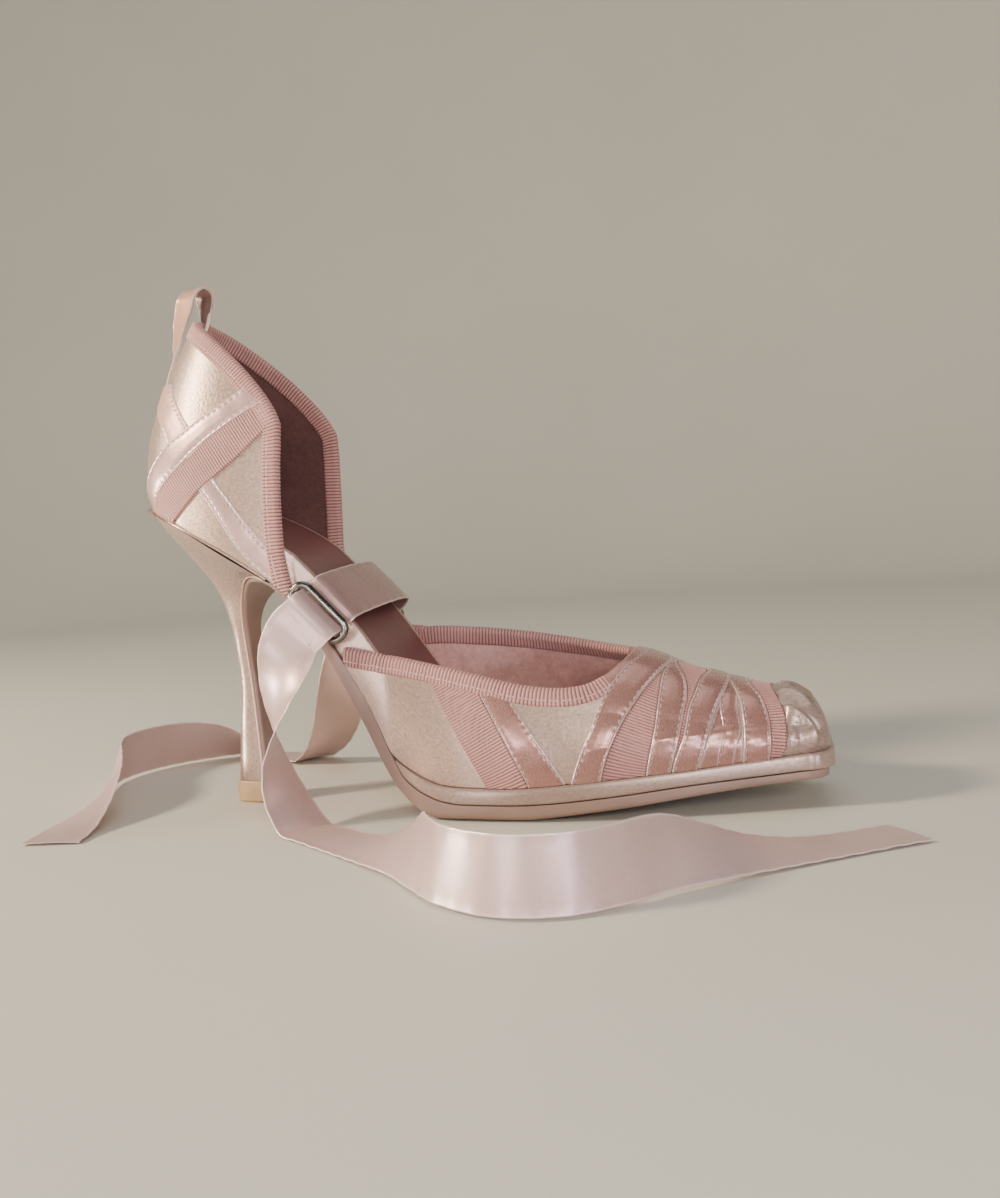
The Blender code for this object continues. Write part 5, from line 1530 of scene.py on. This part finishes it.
def binding_rings(surface, line, side, outside=BINDING_OUTSIDE):
    """Sections of a ribbon folded over a cloth edge, with the way out at each point."""
    ways = inward_ways(surface, line, side)
    ways = unit(smoothed(ways, len(line) // 14))
    down, lines = line, [line]
    for _ in range(OUTER_STEPS - 1):
        down = walk(surface, down, ways, outside / (OUTER_STEPS - 1))
        lines.append(down)
    ups = [outward(surface, *pairs.T) for pairs in lines]
    outs = [surface(*pairs.T) for pairs in lines]
    ring, lift = [outs[-1] + ways * 0.15 - ups[-1] * 0.1], [ups[-1] * 0.0]
    for k in range(OUTER_STEPS - 1, -1, -1):
        high = BINDING_RISE * (HEM_FLATTER if k == OUTER_STEPS - 1 else 1.0)
        high = high - (SEAM_DROP if k == OUTER_STEPS - 4 else 0.0)
        ring.append(outs[k] + ups[k] * high)
        lift.append(ups[k] * (0.55 if k >= OUTER_STEPS - 3 else 1.0))
    rim_in = surface(*line.T, UPPER_WALL)
    middle = (outs[0] + rim_in) / 2
    radius = np.linalg.norm(outs[0] - rim_in, axis=1)[:, None] / 2 + BINDING_RISE
    for turn in np.radians(np.linspace(0, 180, 11)[1:-1]):
        way = ups[0] * math.cos(turn) - ways * math.sin(turn)
        ring.append(middle + way * radius)
        lift.append(way)
    for k in range(INNER_STEPS):
        spot = k * (OUTER_STEPS - 1) / (INNER_STEPS - 1) * BINDING_INSIDE / outside
        a = min(int(spot), OUTER_STEPS - 2)
        pairs = lines[a] + (lines[a + 1] - lines[a]) * (spot - a)
        up = outward(surface, *pairs.T)
        high = BINDING_RISE * (HEM_FLATTER if k == INNER_STEPS - 1 else 1.0)
        ring.append(surface(*pairs.T, UPPER_WALL) - up * high)
        lift.append(-up * (0.4 if k >= INNER_STEPS - 2 else 1.0))
    ring.append(surface(*pairs.T, UPPER_WALL) + up * 0.2)
    lift.append(up * 0.0)
    return np.stack(ring, axis=1), np.stack(lift, axis=1), lines


def bind(name, surface, line, side, outside=BINDING_OUTSIDE):
    """Fold a grosgrain binding over an edge line and sew it."""
    length = run_lengths(surface(*line.T))[-1]
    line = even(surface, line, int(length / BINDING_STEP))
    rings, lift, lines = binding_rings(surface, line, side, outside)
    rings[..., 2] = np.maximum(rings[..., 2], feather(rings[..., 0]) - 0.2)
    run = run_lengths(surface(*line.T))
    lift = lift * np.clip(np.minimum(run, run[-1] - run) / 1.2, 0.25, 1)[:, None, None]
    run = np.broadcast_to(run[:, None], rings.shape[:2])
    piece = corded(name, rings, run, lift, BINDING_PITCH)
    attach(piece, "root")
    row = lines[-4]
    up = outward(surface, *row.T)
    sew(surface(*row.T) + up * (BINDING_RISE + THREAD_OVER), up, PALE_ON_BINDING, BINDING_STITCH)
    return piece


bind("collar_binding", counter_at, collar, 1, COLLAR_OUTSIDE)
near_end = int(np.argmin(np.abs(topline[:front_index + 1, 0] - NEAR_STOPS)))
bind("vamp_binding_near", vamp_at, topline[:near_end + 1], -1)
far_start = front_index + int(np.argmin(np.abs(topline[front_index:, 0] - FAR_STARTS)))
bind("vamp_binding_far", vamp_at, topline[far_start:], -1)
line = even(vamp_at, topline[near_end - 2:far_start + 3], 110)
rings = binding_rings(vamp_at, line, -1)[0]
cloth = cloth_map(run_lengths(vamp_at(*line.T))[:, None], girth_of(rings))
turned_edge = show_rings("throat_edge", rings, ribbon_dusty, cloth=cloth)
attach(turned_edge, "root")

# ---------------------------------------------------------------- stitches
# Polyester thread in lockstitch: short tight bars that sink a little at both ends, nearly
# white on the back upper's stays and dyed to the ribbon elsewhere.
THREAD_RADIUS = 0.15
STITCH_LENGTH = 1.5
STITCH_SINK = 0.9
sewing_thread, tree, shader = new_surface("polyester_thread", Roughness=0.45, Sheen_Weight=0.3)
spots = add(tree, "ShaderNodeTexCoord").outputs["Object"]
twist = add(tree, "ShaderNodeTexNoise", {"Vector": spots, "Scale": 1 / 0.0008, "Detail": 1.0})
paleness = add(tree, "ShaderNodeAttribute", attribute_name="pale")
shade = add(tree, "ShaderNodeMath", {0: twist, 1: 0.3,
                                     2: paleness.outputs["Fac"]}, operation="MULTIPLY_ADD")
tint = add(tree, "ShaderNodeMix", {"Factor": shade, "A": linear("#a98781"),
                                   "B": linear("#f1e4de")}, data_type="RGBA")
plug(tree, shader, {"Base Color": tint})

spots = np.concatenate(stitch_spots)
sewn = spots[:, 2] > feather(spots[:, 0]) + 0.8
stitches = show("thread_stitches", loose_points(
    "stitch_places", spots[sewn], along=np.concatenate(stitch_ways)[sewn],
    above=np.concatenate(stitch_ups)[sewn], pale=np.concatenate(stitch_pale)[sewn]))
stitch_tree, given = new_group("lockstitches", Thread_Radius="Float", Stitch_Length="Float",
                               Thread="Material")
bar = add(stitch_tree, "GeometryNodeMeshCylinder", {
    "Vertices": 6, "Side Segments": 2, "Radius": given.outputs["Thread Radius"],
    "Depth": given.outputs["Stitch Length"]})
where = add(stitch_tree, "GeometryNodeInputPosition")
parts = add(stitch_tree, "ShaderNodeSeparateXYZ", {"Vector": where})
share = add(stitch_tree, "ShaderNodeMath", {0: parts.outputs["Z"],
                                            1: given.outputs["Stitch Length"]}, operation="DIVIDE")
square = add(stitch_tree, "ShaderNodeMath", {0: share, 1: share}, operation="MULTIPLY")
sink = add(stitch_tree, "ShaderNodeMath", {0: square, 1: -STITCH_SINK * MM}, operation="MULTIPLY")
drop = add(stitch_tree, "ShaderNodeCombineXYZ", {"X": sink})
bowed = add(stitch_tree, "GeometryNodeSetPosition", {"Geometry": bar, "Offset": drop})
along_at = add(stitch_tree, "GeometryNodeInputNamedAttribute", {"Name": "along"},
               data_type="FLOAT_VECTOR")
above_at = add(stitch_tree, "GeometryNodeInputNamedAttribute", {"Name": "above"},
               data_type="FLOAT_VECTOR")
axes = add(stitch_tree, "FunctionNodeAxesToRotation", {
    "Primary Axis": along_at, "Secondary Axis": above_at}, primary_axis="Z", secondary_axis="X")
placed = add(stitch_tree, "GeometryNodeInstanceOnPoints", {
    "Points": given.outputs["Geometry"], "Instance": bowed, "Rotation": axes})
end_group(stitch_tree, placed, given.outputs["Thread"])
grow(stitches, stitch_tree, Thread_Radius=THREAD_RADIUS * MM, Stitch_Length=STITCH_LENGTH * MM,
     Thread=sewing_thread)
stitches.data.shade_smooth()
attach(stitches, "root")

# ---------------------------------------------------------------- heel
# A moulded stiletto heel covered in the champagne satin, drawn to a seam down its front
# edges and nailed to the seat; it flares again to carry the wear piece.
COVER_GAP = 0.1
COVER_PULL = 0.10
ROLL_RADIUS, ROLL_TUCK, ROLL_LOW = 0.55, 0.1, 0.25
PIPING_RADIUS, PIPING_TUCK = 0.42, 0.15
heel_rows, heel_face, heel_into = heel_line(9)
face = heel_face + heel_into * (FLAP_THICK + COVER_GAP)
back = xyz(heel_rows[:, 3], 0.0, heel_rows[:, 4])


def heel_sections(face, back, half, square):
    """D-shaped sections: flat towards the flap, round behind, their front corners eased."""
    turn = np.radians(np.linspace(-90, 90, 45))
    rings = []
    for t in turn:
        deep = abs(math.cos(t)) ** (2 / square)
        across = np.sign(t) * abs(math.sin(t)) ** (2 / square)
        point = face + (back - face) * np.reshape(deep, (-1, 1))
        rings.append(xyz(point[:, 0], half * across, point[:, 2]))
    for share, dip in ((0.94, 0.08), (0.6, 0.25), (0.2, 0.25), (-0.2, 0.25), (-0.6, 0.25),
                       (-0.94, 0.08)):
        point = face + unit(back - face) * dip
        rings.append(xyz(point[:, 0], half * share, point[:, 2]))
    return np.stack(rings, axis=1)


rings = heel_sections(face, back, heel_rows[:, 5], heel_rows[:, 6])
rings[..., 2] = np.minimum(rings[..., 2], feather(rings[..., 0]) - slope_gap(rings[..., 0]) * 0.5)
down = run_lengths((face + back) / 2)
pull = COVER_PULL * np.sin(down * 0.5)[:, None] * np.cos(
    np.linspace(0, math.pi, rings.shape[1]))[None]
rings[..., 1] += np.sign(rings[..., 1]) * pull
cloth = cloth_map(down[:, None], girth_of(rings))
# Stretched down the heel, so the yarns draw the light out along it; its deeper tone than the
# upper's satin is painted shade.
heel_satin_painted_shade = satin("heel_satin_champagne", "#a08578", "#cab0a2", thread=0.30, roughness=0.30,
                   gleam=0.6, sparkle=0.45, glide=0.5, across=0.0)
heel = show_rings("covered_heel", rings, heel_satin_painted_shade, cloth=cloth)
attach(heel, "root")
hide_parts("heel")


def tube(path, ways, radius, sides, looped=False):
    """Round sections of a cord or wire along a path, ways pointing out of it, and its cloth."""
    if looped:
        along = unit(np.roll(path, -1, axis=0) - np.roll(path, 1, axis=0))
    else:
        along = unit(np.gradient(path, axis=0))
    up = np.cross(along, ways)
    turns = np.radians(np.arange(0, 360, 360 // sides))
    rings = [path + ways * radius * math.cos(t) + up * radius * math.sin(t) for t in turns]
    return np.stack(rings, axis=1), cloth_map(run_lengths(path)[:, None], turns * radius)


# The cover is turned over a cord where the heel meets the back upper.
roll_turn = np.linspace(-86, 86, 240)
roll_z = np.interp(roll_turn, seat_turns, seat_line)
roll_way = outward(counter_at, roll_z, roll_turn)
roll = counter_at(roll_z, roll_turn) - roll_way * ROLL_TUCK - np.array((0.0, 0.0, ROLL_LOW))
rings, cloth = tube(roll, roll_way, ROLL_RADIUS, 10)
seat_roll = show_rings("heel_seat_roll", rings, satin_champagne, cloth=cloth)
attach(seat_roll, "root")

# A folded satin piping closes the cover down both front edges of the heel.
for sign in (-1, 1):
    edge = face + xyz(0.0, sign * (heel_rows[:, 5] - PIPING_TUCK), 0.0)
    edge = edge[edge[:, 2] < feather(edge[:, 0]) - 1.0]
    side_way = np.broadcast_to(np.array((0.0, sign, 0.0)), edge.shape)
    rings, cloth = tube(edge, side_way, PIPING_RADIUS, 10)
    name = "heel_piping_" + ("near" if sign < 0 else "far")
    piping = show_rings(name, rings, ribbon_peach, cloth=cloth)
    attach(piping, "root")

# ---------------------------------------------------------------- wear piece
# The small block that the heel stands on: tan polyurethane, injection moulded with a
# bevelled foot, and held by a steel pin that is driven up into the heel.
TOP_PIECE_HEIGHT = 7.3
WEAR_SQUARE = 3.3
foot = HEEL[-1]
heights = np.array((0.0, 0.25, 0.8, 3.6, 6.5, 7.0, TOP_PIECE_HEIGHT + 0.15))
grown = np.array((-0.5, -0.1, 0.4, 0.45, 0.4, 0.25, 0.0))
face = xyz(foot.face_x + grown, 0.0, heights)
back = xyz(foot.back_x - grown, 0.0, heights)
rings = heel_sections(face, back, foot.half + grown, WEAR_SQUARE)

# Injection-moulded polyurethane: an even satin skin, dulled by fine scuffs from the ground.
wear_rubber, tree, shader, spots, patch, tint = mottled(
    "tan_polyurethane", "#a98a62", "#c6a981", 0.004, 4.0, Roughness=0.48, IOR=1.5)
scuff = add(tree, "ShaderNodeTexNoise", {"Vector": spots, "Scale": 1 / 0.0008, "Detail": 3.0})
bump = add(tree, "ShaderNodeBump", {"Height": scuff, "Strength": 0.2, "Distance": 0.0001})
plug(tree, shader, {"Normal": bump})
wear = show_rings("wear_piece", rings, wear_rubber, sharp=40)
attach(wear, "root")
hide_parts("top_piece")

# ---------------------------------------------------------------- pull loop
# A satin ribbon doubled on itself, peach outside and mauve inside, its two ends sewn to
# the outside and the inside of the collar at the back seam.  The peach is painted warm light
# and the mauve painted shade on one ribbon.  Above the collar it has twisted out of line, so
# its two faces show side by side.
LoopPoint = namedtuple("LoopPoint", "x y z twist")
LOOP = [LoopPoint(*row) for row in (
    (5.0, 0, 139.0, 0), (7.3, -0.2, 147.0, 14), (10.0, -0.8, 158.0, 36),
    (12.4, -1.6, 165.5, 50), (14.3, -2.2, 170.0, 58), (16.0, -2.4, 174.2, 62),
    (17.8, -1.2, 177.0, 62), (19.4, 0.6, 177.4, 62), (20.7, 1.9, 175.6, 62),
    (21.2, 2.0, 172.2, 58), (21.5, 1.4, 168.4, 46), (22.4, 0.6, 164.6, 24),
    (21.8, 0, 160.4, 4), (19.1, 0, 154.4, 0),
)]
LOOP_WIDTH = 10.0
INNER_NARROWER = 0.7
PLY_THICK = 0.52
PLY_SHIFT = 0.30
middle = smooth_path([(p.x, p.y, p.z) for p in LOOP], 14)
twist = np.radians(np.interp(np.linspace(0, len(LOOP) - 1, len(middle)), range(len(LOOP)),
                             [p.twist for p in LOOP]))
ways = xyz(-np.sin(twist), np.cos(twist), 0.0)
outer_way = np.cross(unit(np.gradient(middle, axis=0)), ways)

# Polyester satin: the mauve ply shines and the peach one is duller; the peach tone is painted
# warm light and the mauve tone painted shade.
loop_satin_painted_shade = satin("loop_satin_mauve", "#7b5a55", "#9c7670", thread=0.2, roughness=0.3,
                   gleam=0.35, sparkle=0.14)
loop_satin_painted_light = satin("loop_satin_peach", "#b98570", "#cfa08b", thread=0.2, roughness=0.36,
                   gleam=0.25, sparkle=0.14)
for name, cloth, shift, wide in (
    ("pull_loop_outer", loop_satin_painted_light, PLY_SHIFT, LOOP_WIDTH),
    ("pull_loop_inner", loop_satin_painted_shade, -PLY_SHIFT, LOOP_WIDTH - INNER_NARROWER),
):
    ply = show(name, ribbon_mesh(name, middle + outer_way * shift, ways, wide, PLY_THICK, 0.0),
               cloth)
    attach(ply, "root")
    if shift > 0:
        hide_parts("pull_loop")

# ---------------------------------------------------------------- rings and keepers
# Rectangular rings of drawn steel wire, butt-welded and plated gunmetal.  Each turns in a
# short satin keeper that is glued between the insole and the sole at the waist.
RING_LENGTH = 24.0
RING_HEIGHT = 9.6
RING_WIRE = 1.2
RING_CORNER = 3.2
RING_OUT = 29.0
KEEPER_FROM, KEEPER_TO = -3.5, 6.5
KEEPER_THICK = 0.9
KEEPER_WEB = 0.75
KEEPER_ROOT = 1.2

# Gunmetal plating: dark nickel over polished steel, mirror-like with faint smears.
gunmetal, tree, shader, spots, patch, tint = mottled(
    "gunmetal_plated_wire", "#6a6866", "#94918c", 0.003, 3.0, Metallic=1.0, Roughness=0.2)
gloss = add(tree, "ShaderNodeMapRange", {"Value": patch, "To Min": 0.12, "To Max": 0.28})
plug(tree, shader, {"Roughness": gloss})

half_long = RING_LENGTH / 2 - RING_WIRE - RING_CORNER
half_high = RING_HEIGHT / 2 - RING_WIRE - RING_CORNER
outline = []
for corner, (a, b) in enumerate(((1, 1), (-1, 1), (-1, -1), (1, -1))):
    for t in np.radians(90 * corner + np.linspace(0, 90, 14)):
        outline.append((a * half_long + RING_CORNER * math.cos(t),
                        b * half_high + RING_CORNER * math.sin(t)))
outline = np.array(outline)
for hand, sign in (("right", -1), ("left", 1)):
    path = np.array([ring_point(sign, a, b, RING_OUT) for a, b in outline])
    side_way = np.broadcast_to(np.array((0.0, 1.0, 0.0)), path.shape)
    name = "wire_ring_" + hand
    ring = show_rings(name, tube(path, side_way, RING_WIRE, 18, looped=True)[0], gunmetal,
                      looped=True)
    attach(ring, "root")
    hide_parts("ring_" + hand)

    bar = -(RING_HEIGHT / 2 - RING_WIRE)
    radius = RING_WIRE + GAP + KEEPER_THICK / 2
    wall = float(upper_reach("near" if sign < 0 else "far", RING_MID[0],
                             feather(RING_MID[0]) + 5, UPPER_WALL + GAP))
    turns = np.radians(np.linspace(90, -180, 40))
    fold = [(wall - KEEPER_ROOT, bar + radius), ((wall + RING_OUT) / 2, bar + radius)]
    fold += [(RING_OUT + radius * math.cos(t), bar + radius * math.sin(t)) for t in turns]
    mid_along = (KEEPER_FROM + KEEPER_TO) / 2
    path = np.array([ring_point(sign, mid_along, rise, out) for out, rise in fold])
    ways = np.broadcast_to(WAIST_ALONG, path.shape)
    name = "satin_keeper_" + hand
    keeper = show(name, ribbon_mesh(name, path, ways, KEEPER_TO - KEEPER_FROM, KEEPER_WEB, 0.0),
                  satin_champagne)
    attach(keeper, "root")
    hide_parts("keeper_" + hand)

# ---------------------------------------------------------------- instep ribbon
# The middle of the same satin ribbon, passed from ring to ring over the waist.  It bows
# up off the insole between the rings.
BandPoint = namedtuple("BandPoint", "y rise")
BAND = [BandPoint(*row) for row in (
    (-26.3, 2.2), (-26.0, 5.2), (-24.0, 7.4), (-15.0, 9.2), (-2.0, 11.0), (11.0, 12.0),
    (19.5, 11.6), (24.4, 9.4), (26.2, 5.8), (26.3, 2.2),
)]
INSTEP_THICK = 0.36
INSTEP_CUP = 0.3
path = [ring_point(-1 if row.y < 0 else 1, 0, row.rise, abs(row.y)) for row in BAND]
middle = smooth_path(path, 16)
ways = np.broadcast_to(WAIST_ALONG, middle.shape)
# The instep band is the free ends' ribbon in a deeper mauve tone: painted shade.
ribbon_satin_painted_shade = satin("ribbon_satin_rose_mauve", "#9d7b74", "#bd9b94", thread=0.16,
                     roughness=0.3, gleam=0.4, sparkle=0.12)
instep = show("instep_ribbon", ribbon_mesh("instep_ribbon", middle, ways, RIBBON_WIDTH,
                                           INSTEP_THICK, INSTEP_CUP), ribbon_satin_painted_shade)
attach(instep, "root")
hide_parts("ribbon_instep")
